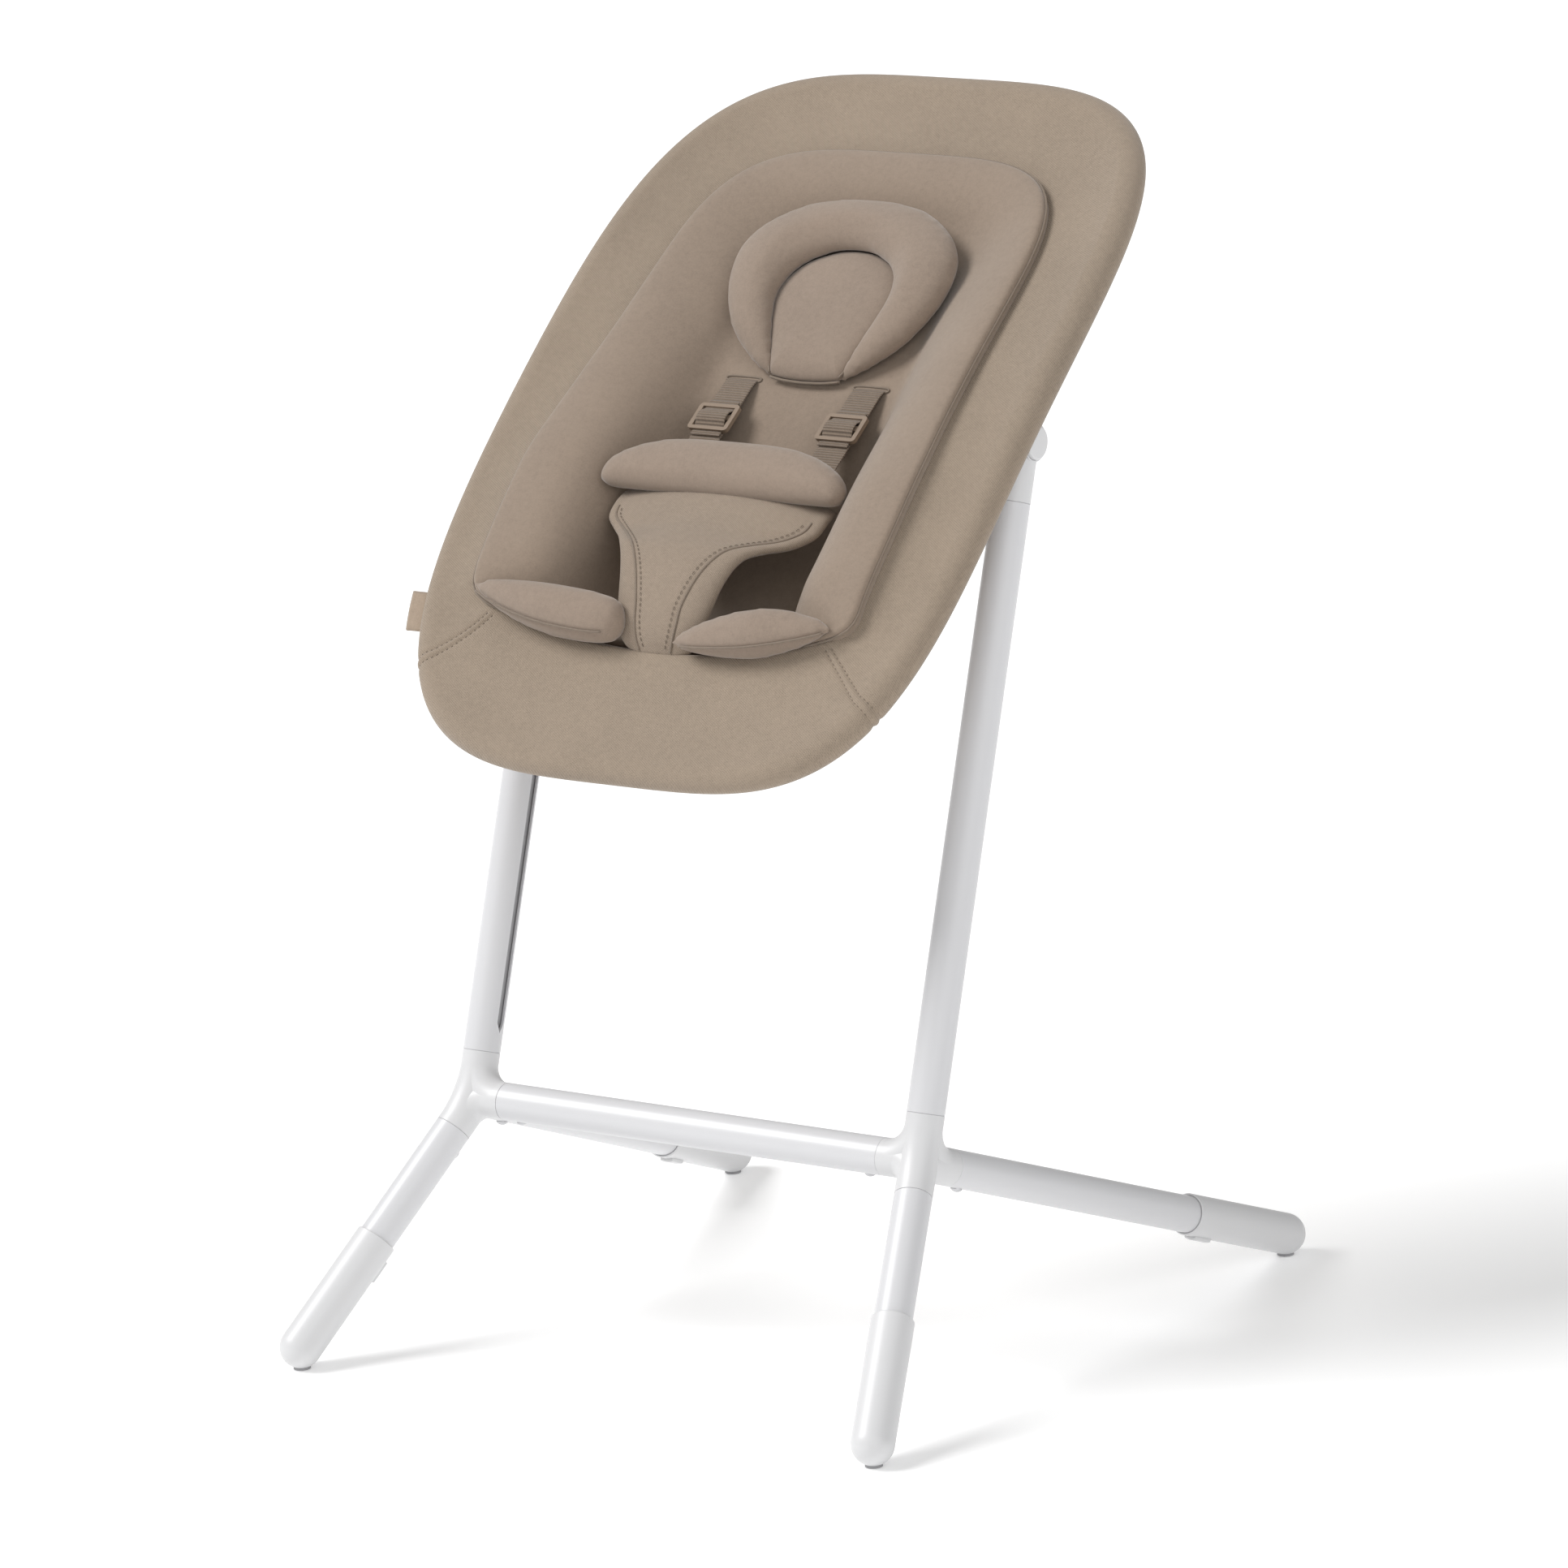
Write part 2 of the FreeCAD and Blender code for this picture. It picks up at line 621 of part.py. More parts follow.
def strap_plate(a0, a1, half_width, low, high):
    """A block lying along the strap, between two lifts above it."""
    corners = [(a0, low), (a1, low), (a1, high), (a0, high)]
    profile = [(a, strap_h(a) + lift) for a, lift in corners]
    return seat_prism(profile, STRAP_X - half_width, STRAP_X + half_width)


def strap_adjuster():
    """Ladder lock lying on the strap: a frame with one bar across it."""
    body = strap_plate(-24, 0, 16.5, 1.9, 5.1)
    corners = [edge for edge in body.Edges if abs(edge.Length - 3.2 / math.cos(math.atan(1 / 11))) < 0.2]
    body = body.makeFillet(3, corners)
    windows = [strap_plate(-21, -14.2, 13.2, 0, 9), strap_plate(-9.8, -3, 13.2, 0, 9)]
    return body.cut(windows)


def bumper():
    """Padded bar across the waist: arched along its top, nearly straight along its lower edge."""
    underside_h = 24
    depth = 25
    edge_radius = 7
    right = seat_point(100, -86, underside_h)
    left = seat_point(-100, -86, underside_h)
    top = Part.Arc(right, seat_point(0, -52, underside_h), left).toShape()
    bottom = Part.Arc(left, seat_point(0, -92, underside_h), right).toShape()
    outward = seat_point(0, 0, depth) - seat_point(0, 0, 0)
    bar = Part.Face(Part.Wire([top, bottom])).extrude(outward)
    long_edges = [edge for edge in bar.Edges if edge.Length > 2 * depth]
    return bar.makeFillet(edge_radius, long_edges)


def crotch_panel():
    """Padded panel from the front edge of the well up to the bumper."""
    sections = []
    for a, h, half_width, half_depth in [
        (-202.5, 20, 18, 2.5),
        (-188, 22, 22, 9),
        (-165, 27, 32, 13),
        (-135, 32, 57, 8.5),
        (-113, 34, 77, 5),
        (-99.5, 33, 77, 4),
    ]:
        corners = [(-half_width, -half_depth), (half_width, -half_depth)]
        corners += [(half_width, half_depth), (-half_width, half_depth)]
        sections.append([(x, a, h + lift) for x, lift in corners])
    return seat_loft(sections)


def side_tag():
    """Small blank cloth tag sewn to the left of the rim."""
    a = -197
    x = -rim_x(a + 15) - RIM_TUBE_R - 2.5
    h = rim_h(a)
    profile = [(a - 15, h - 0.6), (a + 15, h - 0.6), (a + 15, h + 0.6), (a - 15, h + 0.6)]
    return seat_prism(profile, x - 13, x)


def build_soft_parts():
    """Cover, liner, pillow, pads, straps and harness."""
    save_pair("side_panel", side_panel())
    save("head_panel", end_panel(1, 203, 0))
    save("front_panel", end_panel(-1, -214, 6))
    save("back_sling", layer(FLOOR[:3], LINER_THICKNESS + 0.5, SLING_THICKNESS, SLING_HALF_WIDTH))
    save("seat_sling", layer(FLOOR[2:], LINER_THICKNESS + 0.5, SLING_THICKNESS, SLING_HALF_WIDTH))
    save("liner_back", layer(FLOOR[:3], 0, LINER_THICKNESS, WELL_HALF_WIDTH))
    save("liner_seat", layer(FLOOR[2:], 0, LINER_THICKNESS, WELL_HALF_WIDTH))
    save_pair("liner_wing", wing())
    save("front_wall", front_wall())
    save_pair("thigh_pad", thigh_pad())
    ring, inside = head_pillow()
    save("head_pillow", ring)
    save("pillow_pad", inside)
    save_pair("strap", strap())
    save_pair("strap_clip", strap_clip())
    save_pair("strap_adjuster", strap_adjuster())
    save("bumper", bumper())
    save("crotch_panel", crotch_panel())
    save("side_tag", side_tag())


os.makedirs("parts", exist_ok=True)
build_stand()
build_carrier()
build_seat_frame()
build_soft_parts()
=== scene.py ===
"""Looks of a newborn bouncer seat: sewn cover, padded liner, pillow, harness, and painted frame.

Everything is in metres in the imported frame. Seat coordinates are (x, a, h): a runs from the foot end
to the head end of the seat plane and h stands square to it, measured from the recline pivot.
"""
import json
import math

import bmesh
import bpy
import numpy as np
from mathutils import Matrix, Vector


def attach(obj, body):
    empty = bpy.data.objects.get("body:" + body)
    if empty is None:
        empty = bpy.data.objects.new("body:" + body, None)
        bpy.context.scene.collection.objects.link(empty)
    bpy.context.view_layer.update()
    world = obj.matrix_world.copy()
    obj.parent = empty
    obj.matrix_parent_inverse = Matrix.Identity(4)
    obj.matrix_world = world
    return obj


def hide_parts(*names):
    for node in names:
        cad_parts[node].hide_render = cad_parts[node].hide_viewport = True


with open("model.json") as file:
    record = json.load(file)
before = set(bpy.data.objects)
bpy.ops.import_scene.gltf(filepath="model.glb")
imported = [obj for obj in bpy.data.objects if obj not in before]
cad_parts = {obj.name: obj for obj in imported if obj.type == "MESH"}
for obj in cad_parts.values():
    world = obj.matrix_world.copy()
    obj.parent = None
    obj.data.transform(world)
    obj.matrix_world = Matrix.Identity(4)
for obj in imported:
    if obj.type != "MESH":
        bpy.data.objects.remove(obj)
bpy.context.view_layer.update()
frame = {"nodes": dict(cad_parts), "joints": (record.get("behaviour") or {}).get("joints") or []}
MM = 0.001
NODES = frame["nodes"]

# ------------------------------------------------------------------ seat plane

TILT = math.radians(39.7)
PIVOT = next(j for j in frame["joints"] if j["name"] == "recline")["pos_m"]


def seat(x, a, h):
    """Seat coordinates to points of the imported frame; takes numbers or arrays."""
    x, a, h = np.broadcast_arrays(np.asarray(x, float), a, h)
    y = PIVOT[1] + a * math.cos(TILT) - h * math.sin(TILT)
    z = PIVOT[2] + a * math.sin(TILT) + h * math.cos(TILT)
    return np.stack([x, y, z], -1)


SEAT_UP = seat(0, 0, 1) - seat(0, 0, 0)


def smooth(t):
    """Smooth step from 0 to 1."""
    t = np.clip(t, 0, 1)
    return t * t * (3 - 2 * t)


def unit(vectors):
    """Vectors scaled to length one."""
    return vectors / np.linalg.norm(vectors, axis=-1, keepdims=True)


def squared_off(value, power):
    """A sine or cosine to a power, with its sign kept: a power below 1 squares off a round section."""
    return np.sign(value) * np.abs(value) ** power


def turns(count):
    """Evenly spaced angles once round."""
    return np.linspace(0, 2 * math.pi, count, endpoint=False)


def rounded(at, table, blur):
    """Reads a table of (place, value) millimetres at metres, with its corners rounded."""
    places, values = np.array(table, float).T * MM
    spread = np.linspace(-blur, blur, 9) * MM
    return np.mean([np.interp(at + d, places, values) for d in spread], axis=0)


def curve_through(points, count):
    """A smooth curve through control points, evenly spaced."""
    points = np.asarray(points, float)
    ends = np.concatenate([[2 * points[0] - points[1]], points, [2 * points[-1] - points[-2]]])
    t = np.linspace(0, 1, 24, endpoint=False)[:, None]
    line = []
    for p0, p1, p2, p3 in zip(ends, ends[1:], ends[2:], ends[3:]):
        line.append(0.5 * (2 * p1 + (p2 - p0) * t + (2 * p0 - 5 * p1 + 4 * p2 - p3) * t ** 2
                           + (3 * p1 - p0 - 3 * p2 + p3) * t ** 3))
    return even(np.concatenate(line + [points[-1:]]), count)


def run_along(line):
    """Distance along an open line to each of its points."""
    return np.concatenate([[0], np.cumsum(np.linalg.norm(np.diff(line, axis=0), axis=1))])


def read_line(at, run, line):
    """Points of a line where its run, or another measure along it, has the given values."""
    return np.stack([np.interp(at, run, column) for column in line.T], -1)


def even(line, count):
    """Resamples an open line to evenly spaced points."""
    run = run_along(line)
    return read_line(np.linspace(0, run[-1], count), run, line)


def both_sides(half):
    """A closed outline from its right half, which runs from x = 0 at the foot to x = 0 at the head."""
    left = half[-2:0:-1] * [-1, 1]
    return np.concatenate([half, left])


# ------------------------------------------------------------------ rim and liner shapes

RIM_HALF_WIDTH = 202 * MM
RIM_HALF_LENGTH = 289.6 * MM
RIM_CENTRE_A = -5.6 * MM
RIM_POWER = 3.9
WRAP_UP = 11.2 * MM
WRAP_OUT = 13.0 * MM

# Tables of place a and a height or half width there, in millimetres.
FLOOR = [(-214, 13), (-203, 8), (-182, -7), (-160, -20), (-140, -25), (-100, -18), (-60, -8),
         (25, 4), (120, 12), (222, 21)]
LINER_WIDTH = [(-180, 158), (-140, 159), (-80, 159.5), (-20, 154), (40, 150), (100, 148), (230, 148)]
RIDGE = [(-196, 34), (-180, 41.5), (-140, 47), (-80, 52), (-20, 48), (60, 41), (100, 37.5),
         (160, 33), (200, 28.5), (222, 26)]
LINER_HEAD = (50 * MM, 171 * MM)
LINER_FOOT = (-170 * MM, 32 * MM)
LINER_POWER = 4.0
LINER_DEPTH = 14 * MM
# Place a, and the power of the wing's convex slope there.
WING_ROUND = [(-150, 4.6), (-64, 3.6), (0, 2.7), (60, 2.0), (120, 1.55)]
WING_END_DROP = 13 * MM
CREASE_X = 78 * MM
GROOVE_DEPTH = 1.6 * MM
GROOVE_SHARE = 0.035
WALL = 10 * MM
FRONT_EDGE_A = -214 * MM
FRONT_CORNER = (141 * MM, -197 * MM)
FRONT_EDGE_H = 15 * MM
FRONT_CORNER_RISE = 11 * MM
SEAM_RIM = (188 * MM, -240 * MM)
SEAM_STATIONS = [-9, -6, -4.2, -3, -1.8, 0, 1.8, 3, 4.2, 6, 9]
SEAM_CLEAR = 12 * MM


def rim_h(a):
    """Height of the rim's arch."""
    return 26.3 * MM - 0.252 * (a - 48.6 * MM) ** 2


def floor_h(a):
    """Height of the liner's middle."""
    return rounded(a, FLOOR, 14)


def ridge_h(a):
    """Height of the liner's outer ridge."""
    return rounded(a, RIDGE, 16)


def liner_half_width(a):
    """Half width of the liner without its rounded ends."""
    return rounded(a, LINER_WIDTH, 20)


def liner_edge_share(a):
    """How much of the half width is left inside the rounded ends."""
    over = np.maximum((a - LINER_HEAD[0]) / LINER_HEAD[1], (LINER_FOOT[0] - a) / LINER_FOOT[1])
    return (1 - np.clip(over, 0, 1) ** LINER_POWER) ** (1 / LINER_POWER)


def liner_top(x, a):
    """Height of the liner's upper face: flat floor, then a convex slope up to the ridge."""
    over = np.clip((a - LINER_HEAD[0]) / LINER_HEAD[1], 0, 2)
    out = ((np.abs(x) / liner_half_width(a)) ** LINER_POWER + over ** LINER_POWER) ** (1 / LINER_POWER)
    crease = CREASE_X / liner_half_width(a) + 0.16 * smooth((a - 90 * MM) / (80 * MM))
    slope = np.clip((out - crease) / (1 - crease), 0, 1.1)
    power = rounded(a, WING_ROUND, 12) / MM
    rise = 1 - np.abs(1 - slope) ** power
    groove = GROOVE_DEPTH * np.exp(-((out - crease) / GROOVE_SHARE) ** 2)
    groove = groove * smooth((130 * MM - a) / (60 * MM))
    end = WING_END_DROP * smooth((-148 * MM - a) / (42 * MM)) * smooth(slope * 4) * np.clip(1 - slope, 0, 1)
    return floor_h(a) + (ridge_h(a) - floor_h(a)) * rise - groove - end


def end_arc(end, direction, count):
    """Places along a rounded end of the liner, from where it starts to its tip."""
    turn = np.linspace(0, math.pi / 2, count)
    return end[0] + direction * end[1] * np.sin(turn) ** (2 / LINER_POWER)


def liner_outline(half_count):
    """The liner's ridge line as a closed outline."""
    foot = end_arc(LINER_FOOT, -1, 300)[::-1]
    straight = np.linspace(LINER_FOOT[0], LINER_HEAD[0], 200)[1:-1]
    a = np.concatenate([foot, straight, end_arc(LINER_HEAD, 1, 300)])
    x = liner_half_width(a) * liner_edge_share(a)
    x[0] = x[-1] = 0
    return both_sides(even(np.stack([x, a], -1), half_count))


def outward(loop):
    """Unit normals that point out of a closed outline of (x, a) points."""
    along = unit(np.roll(loop, -1, 0) - np.roll(loop, 1, 0))
    return np.stack([along[:, 1], -along[:, 0]], -1)


def cover_lines():
    """Rim line and the line where the cover meets the liner, matched point for point, and seam distance."""
    turn = np.linspace(-math.pi / 2, math.pi / 2, 3000)
    power = 2 / RIM_POWER
    rim = np.stack([RIM_HALF_WIDTH * np.cos(turn) ** power,
                    RIM_CENTRE_A + RIM_HALF_LENGTH * squared_off(np.sin(turn), power)], -1)
    run = run_along(rim)
    seam = run[np.argmin(np.linalg.norm(rim - SEAM_RIM, axis=1))]
    places = np.linspace(0, run[-1], 131)
    near = np.array(SEAM_STATIONS) * MM
    places = np.sort(np.concatenate([places[np.abs(places - seam) > SEAM_CLEAR], seam + near]))
    rim = read_line(places, run, rim)
    rim[0, 0] = rim[-1, 0] = 0
    return both_sides(rim), both_sides(inner_line(rim)), both_sides_value(places - seam)


def both_sides_value(half):
    """A value along the right half, repeated on the left."""
    return np.concatenate([half, half[-2:0:-1]])


def inner_line(rim):
    """The point of the inner line that each rim point leads to, by angle about the seat's middle."""
    a = np.linspace(LINER_FOOT[0], LINER_HEAD[0], 300)
    a = np.concatenate([a, end_arc(LINER_HEAD, 1, 600)[1:]])
    side = np.stack([liner_half_width(a) * liner_edge_share(a), a], -1)
    across = np.linspace(0, 1, 300)
    front_a = FRONT_EDGE_A + (FRONT_CORNER[1] - FRONT_EDGE_A) * across ** 2.2
    front = np.stack([FRONT_CORNER[0] * across, front_a], -1)
    corner = FRONT_CORNER + np.linspace(0, 1, 60)[1:-1, None] * (side[0] - FRONT_CORNER)
    line = np.concatenate([front, corner, side])
    corner_reach = (FRONT_CORNER[1] - RIM_CENTRE_A) / FRONT_CORNER[0]
    seam_reach = (SEAM_RIM[1] - RIM_CENTRE_A) / SEAM_RIM[0]
    stretch = seam_reach / corner_reach
    line_angle = np.arctan2((line[:, 1] - RIM_CENTRE_A) * stretch, line[:, 0])
    rim_angle = np.arctan2(rim[:, 1] - RIM_CENTRE_A, rim[:, 0])
    inner = read_line(rim_angle, line_angle, line)
    inner[0, 0] = inner[-1, 0] = 0
    return inner


def inner_line_h(inner):
    """Height at which the cover meets the liner's wall, or the well's front edge."""
    wall = ridge_h(inner[:, 1]) - WALL
    front = FRONT_EDGE_H + FRONT_CORNER_RISE * (np.abs(inner[:, 0]) / FRONT_CORNER[0]) ** 2
    share = smooth((inner[:, 1] - FRONT_CORNER[1]) / (27 * MM))
    return front + (wall - front) * share


# ------------------------------------------------------------------ mesh helpers

TUBE_SIDES = 8
STITCH_LENGTH = 2.6 * MM
STITCH_PITCH = 3.9 * MM
STITCH_RADIUS = 0.32 * MM
STITCH_SIDES = 6
STITCH_BOW = [-0.3, 1, 1, -0.3]
STITCH_TAPER = [0.4, 1, 1, 0.4]


def add_mesh(name, verts, faces):
    """A smooth-shaded mesh object from arrays."""
    mesh = bpy.data.meshes.new(name)
    mesh.from_pydata([tuple(v) for v in np.asarray(verts).reshape(-1, 3)], [], faces)
    mesh.validate()
    mesh.polygons.foreach_set("use_smooth", [True] * len(mesh.polygons))
    obj = bpy.data.objects.new(name, mesh)
    bpy.context.scene.collection.objects.link(obj)
    return obj


def grid_faces(rows, columns, closed_rows=False, start=0):
    """Quads of a grid of rows by columns, where each row is a closed loop."""
    faces = []
    for r in range(rows if closed_rows else rows - 1):
        for c in range(columns):
            r2, c2 = (r + 1) % rows, (c + 1) % columns
            faces.append((start + r * columns + c, start + r * columns + c2,
                          start + r2 * columns + c2, start + r2 * columns + c))
    return faces


def ring_stack(name, rings):
    """A closed mesh from a stack of loops with the same number of points, fanned over at each end."""
    rings = np.asarray(rings)
    count, columns = rings.shape[:2]
    faces = grid_faces(count, columns)
    for centre, ring, flip in ((count * columns, 0, True), (count * columns + 1, count - 1, False)):
        for c in range(columns):
            pair = (ring * columns + c, ring * columns + (c + 1) % columns)
            faces.append((pair[1], pair[0], centre) if flip else (pair[0], pair[1], centre))
    obj = add_mesh(name, [*rings.reshape(-1, 3), rings[0].mean(0), rings[-1].mean(0)], faces)
    tidy_normals(obj)
    return obj


def loop_mesh(name, rings):
    """A mesh from loops that shrink to a point or a line at both ends, with doubled points merged."""
    rings = np.array(rings)
    obj = add_mesh(name, rings, grid_faces(len(rings), rings.shape[1]))
    tidy_normals(obj, 0.2 * MM)
    return obj


def tidy_normals(obj, merge=0.01 * MM):
    """Merges doubled points and turns all faces outward."""
    mesh = bmesh.new()
    mesh.from_mesh(obj.data)
    bmesh.ops.remove_doubles(mesh, verts=mesh.verts, dist=merge)
    bmesh.ops.dissolve_degenerate(mesh, edges=mesh.edges, dist=0.001 * MM)
    bmesh.ops.recalc_face_normals(mesh, faces=mesh.faces)
    mesh.to_mesh(obj.data)
    mesh.free()
    obj.data.polygons.foreach_set("use_smooth", [True] * len(obj.data.polygons))


def subdivide(obj):
    """Smooths with a subdivision surface."""
    modifier = obj.modifiers.new("smooth", "SUBSURF")
    modifier.levels = 1
    modifier.render_levels = 1
    return obj


def round_section(points, along, radius, count):
    """Rings of points round a line, square to its unit tangents."""
    side = unit(np.cross(along, SEAT_UP))[:, None]
    up = np.cross(side, along[:, None])
    turn = turns(count)[None, :, None]
    radius = np.broadcast_to(radius, len(points))[:, None, None]
    return points[:, None] + radius * (np.cos(turn) * side + np.sin(turn) * up)


def tube(name, points, radius, closed=False):
    """A thin round tube along points, such as piping."""
    points = np.asarray(points, float)
    if closed:
        along = np.roll(points, -1, 0) - np.roll(points, 1, 0)
    else:
        along = np.gradient(points, axis=0)
    rings = round_section(points, unit(along), radius, TUBE_SIDES)
    if not closed:
        return ring_stack(name, rings)
    obj = add_mesh(name, rings, grid_faces(len(points), TUBE_SIDES, closed_rows=True))
    tidy_normals(obj)
    return obj


def stitches(name, path, lift):
    """A row of short thread stitches along a path, lying on the cloth."""
    path = np.asarray(path, float)
    run = run_along(path)
    rows = len(STITCH_BOW)
    verts, faces = [], []
    for start in np.arange(STITCH_PITCH / 2, run[-1] - STITCH_LENGTH, STITCH_PITCH):
        points = read_line(start + np.linspace(0, STITCH_LENGTH, rows), run, path)
        points = points + lift * np.array(STITCH_BOW)[:, None] * SEAT_UP
        along = np.broadcast_to(unit(points[-1] - points[0]), points.shape)
        rings = round_section(points, along, STITCH_RADIUS * np.array(STITCH_TAPER), STITCH_SIDES)
        base = len(verts) * rows * STITCH_SIDES
        last = base + (rows - 1) * STITCH_SIDES
        verts.append(rings.reshape(-1, 3))
        faces += grid_faces(rows, STITCH_SIDES, start=base)
        faces.append(tuple(range(base + STITCH_SIDES - 1, base - 1, -1)))
        faces.append(tuple(range(last, last + STITCH_SIDES)))
    return add_mesh(name, np.concatenate(verts), faces)


# ------------------------------------------------------------------ cloth simulation

PUFF_VOXEL = 4 * MM
PUFF_PRESSURE = 3.0
PUFF_STIFFNESS = 25.0
PUFF_BENDING = 0.6
PUFF_STEPS = 20
PUFF_TRAVEL = 4 * MM
RELAX_ROUNDS = 4


def puff(obj):
    remesh = obj.modifiers.new("remesh", "REMESH")
    remesh.mode = "VOXEL"
    remesh.voxel_size = PUFF_VOXEL
    apply_modifiers(obj)
    start = points_of(obj)
    settings = obj.modifiers.new("cloth", "CLOTH").settings
    settings.use_pressure = True
    settings.uniform_pressure_force = PUFF_PRESSURE
    settings.tension_stiffness = PUFF_STIFFNESS
    settings.compression_stiffness = PUFF_STIFFNESS
    settings.shear_stiffness = PUFF_STIFFNESS / 3
    settings.bending_stiffness = PUFF_BENDING
    settings.effector_weights.gravity = 0
    for step in range(1, PUFF_STEPS + 1):
        bpy.context.scene.frame_set(step)
    apply_modifiers(obj)
    moved = points_of(obj) - start
    far = np.linalg.norm(moved, axis=1, keepdims=True)
    moved *= np.minimum(1, PUFF_TRAVEL / np.maximum(far, 1e-9))
    obj.data.vertices.foreach_set("co", (start + moved).ravel())
    obj.data.update()
    bpy.context.scene.frame_set(1)
    relax(obj)
    return obj


def relax(obj):
    """Evens out voxel steps."""
    modifier = obj.modifiers.new("relax", "SMOOTH")
    modifier.factor = 0.5
    modifier.iterations = RELAX_ROUNDS
    apply_modifiers(obj)


def points_of(obj):
    """The mesh's points as an array."""
    co = np.zeros(len(obj.data.vertices) * 3)
    obj.data.vertices.foreach_get("co", co)
    return co.reshape(-1, 3)


def apply_modifiers(obj):
    """Replaces the mesh by its evaluated copy and clears the modifiers."""
    graph = bpy.context.evaluated_depsgraph_get()
    mesh = bpy.data.meshes.new_from_object(obj.evaluated_get(graph))
    obj.modifiers.clear()
    old = obj.data
    obj.data = mesh
    bpy.data.meshes.remove(old)
    mesh.polygons.foreach_set("use_smooth", [True] * len(mesh.polygons))


# ------------------------------------------------------------------ cover and liner

COVER_THICKNESS = 2.4 * MM
FLANGE_SAG = 2.6 * MM
FLANGE_EDGE = 2.2 * MM
FLANGE_STEPS = [0, *np.linspace(0.03, 0.97, 17), 1]
UNDER_FLANGE = 0.8
BOWL_STEPS = [0.985, 0.96, 0.93, 0.89, 0.84, 0.78, 0.7, 0.6, 0.48, 0.34, 0.18, 0.0]
BOWL_GAP = 2 * MM
BOWL_REACH = 0.05
FRONT_BOWL_REACH = 0.16
SPINE_FOOT = -125 * MM
COVER_SPINE_HEAD = 140 * MM
LINER_SPINE_HEAD = 130 * MM
WRAP_TURNS = range(90, -76, -11)
WRAP_EDGE = -76
INSIDE_TURNS = (-82, -110, -150, -180)
INSIDE_SIZE = 0.6
STITCH_OFFSET = 3 * MM
STITCHED_WRAP_ROWS = 8


def spine_point(line, head):
    """The point of the middle line that each point of an outline leads to."""
    a = np.clip(line[:, 1], SPINE_FOOT, head)
    return np.stack([np.zeros(len(a)), a], -1)


def bowl_h(place, start_h, u, reach):
    """Height of the bowl's upper face under the liner, from the inner line down to the middle."""
    below = liner_top(place[:, 0], place[:, 1]) - LINER_DEPTH - BOWL_GAP
    return start_h + (below - start_h) * smooth((1 - u) / reach)


def bowl_rows(inner, inner_h):
    """Rows of the bowl under the liner, from the inner line in, as (place, height of the upper face)."""
    spine = spine_point(inner, COVER_SPINE_HEAD)
    reach = BOWL_REACH + FRONT_BOWL_REACH * smooth((-175 * MM - inner[:, 1]) / (20 * MM))
    rows = []
    for u in BOWL_STEPS:
        place = spine + (inner - spine) * u
        rows.append((place, bowl_h(place, inner_h, u, reach)))
    return rows


def cover_sections():
    """Rows of the cover's closed section, from the middle of its upper face round to the lower one."""
    rim, inner, seam = cover_lines()
    out = outward(rim)
    height, inner_h = rim_h(rim[:, 1]), inner_line_h(inner)
    pucker = seam_pucker(seam)
    bowl = bowl_rows(inner, inner_h)
    upper = [seat(p[:, 0], p[:, 1], h) for p, h in bowl[::-1]]
    lower = [seat(p[:, 0], p[:, 1], h - COVER_THICKNESS) for p, h in bowl]
    edge = rim - out * FLANGE_EDGE
    top, under = [], []
    for t in FLANGE_STEPS:
        place = inner + (edge - inner) * t
        h = inner_h + (height + WRAP_UP - inner_h) * t - FLANGE_SAG * 4 * t * (1 - t)
        top.append(seat(place[:, 0], place[:, 1], h + pucker * min(1, 8 * t)))
        if t <= UNDER_FLANGE:
            under.append(seat(place[:, 0], place[:, 1], h - COVER_THICKNESS))
    wrap = [wrap_ring(rim, out, height, turn, pucker) for turn in WRAP_TURNS]
    inside = [wrap_ring(rim, out, height, turn, 0, INSIDE_SIZE) for turn in INSIDE_TURNS]
    return upper + top + wrap + inside + under[::-1] + lower


def seam_pucker(seam):
    """The double-stitched seam as a height change: two grooves with a low ridge between them."""
    grooves = np.exp(-((np.abs(seam) - STITCH_OFFSET) / (1.1 * MM)) ** 2)
    return -1.3 * MM * grooves + 0.6 * MM * np.exp(-(seam / (2.2 * MM)) ** 2)


def wrap_ring(rim, out, height, degrees, pucker, size=1.0):
    """Points round the rim tube at one angle; 90 degrees is on top, 0 is outermost."""
    turn = math.radians(degrees)
    step_out = (WRAP_OUT + pucker) * math.cos(turn) * size
    step_up = (WRAP_UP + pucker) * math.sin(turn) * size
    place = rim + out * np.reshape(step_out, (-1, 1))
    return seat(place[:, 0], place[:, 1], height + step_up)


def make_cover():
    """The sewn cover: wrapped rim, broad flange, front panel and the sling under the liner."""
    return loop_mesh("cover", cover_sections())


def make_cover_trim():
    """Binding along the wrapped edge, and two rows of thread along each front seam."""
    rim, _, seam = cover_lines()
    edge = wrap_ring(rim, outward(rim), rim_h(rim[:, 1]), WRAP_EDGE, 0, 0.99)
    binding = tube("rim_binding", edge, 1.5 * MM, closed=True)
    first = len(BOWL_STEPS)
    rows = np.array(cover_sections()[first:first + len(FLANGE_STEPS) + STITCHED_WRAP_ROWS])
    threads = []
    for name, side in (("right_front_seam", slice(0, 60)), ("left_front_seam", slice(-60, None))):
        for label, offset in (("a", -STITCH_OFFSET), ("b", STITCH_OFFSET)):
            part = np.argmin(np.abs(seam[side] - offset))
            column = np.arange(len(seam))[side][part]
            path = even(rows[:, column], 60)[2:]
            threads.append(stitches(f"{name}_{label}", path, 0.5 * MM))
    return [binding] + threads


LINER_STEPS = [0.0, 0.15, 0.3, 0.42, 0.5, 0.56, 0.62, 0.68, 0.74, 0.8, 0.86, 0.91, 0.95, 0.98]
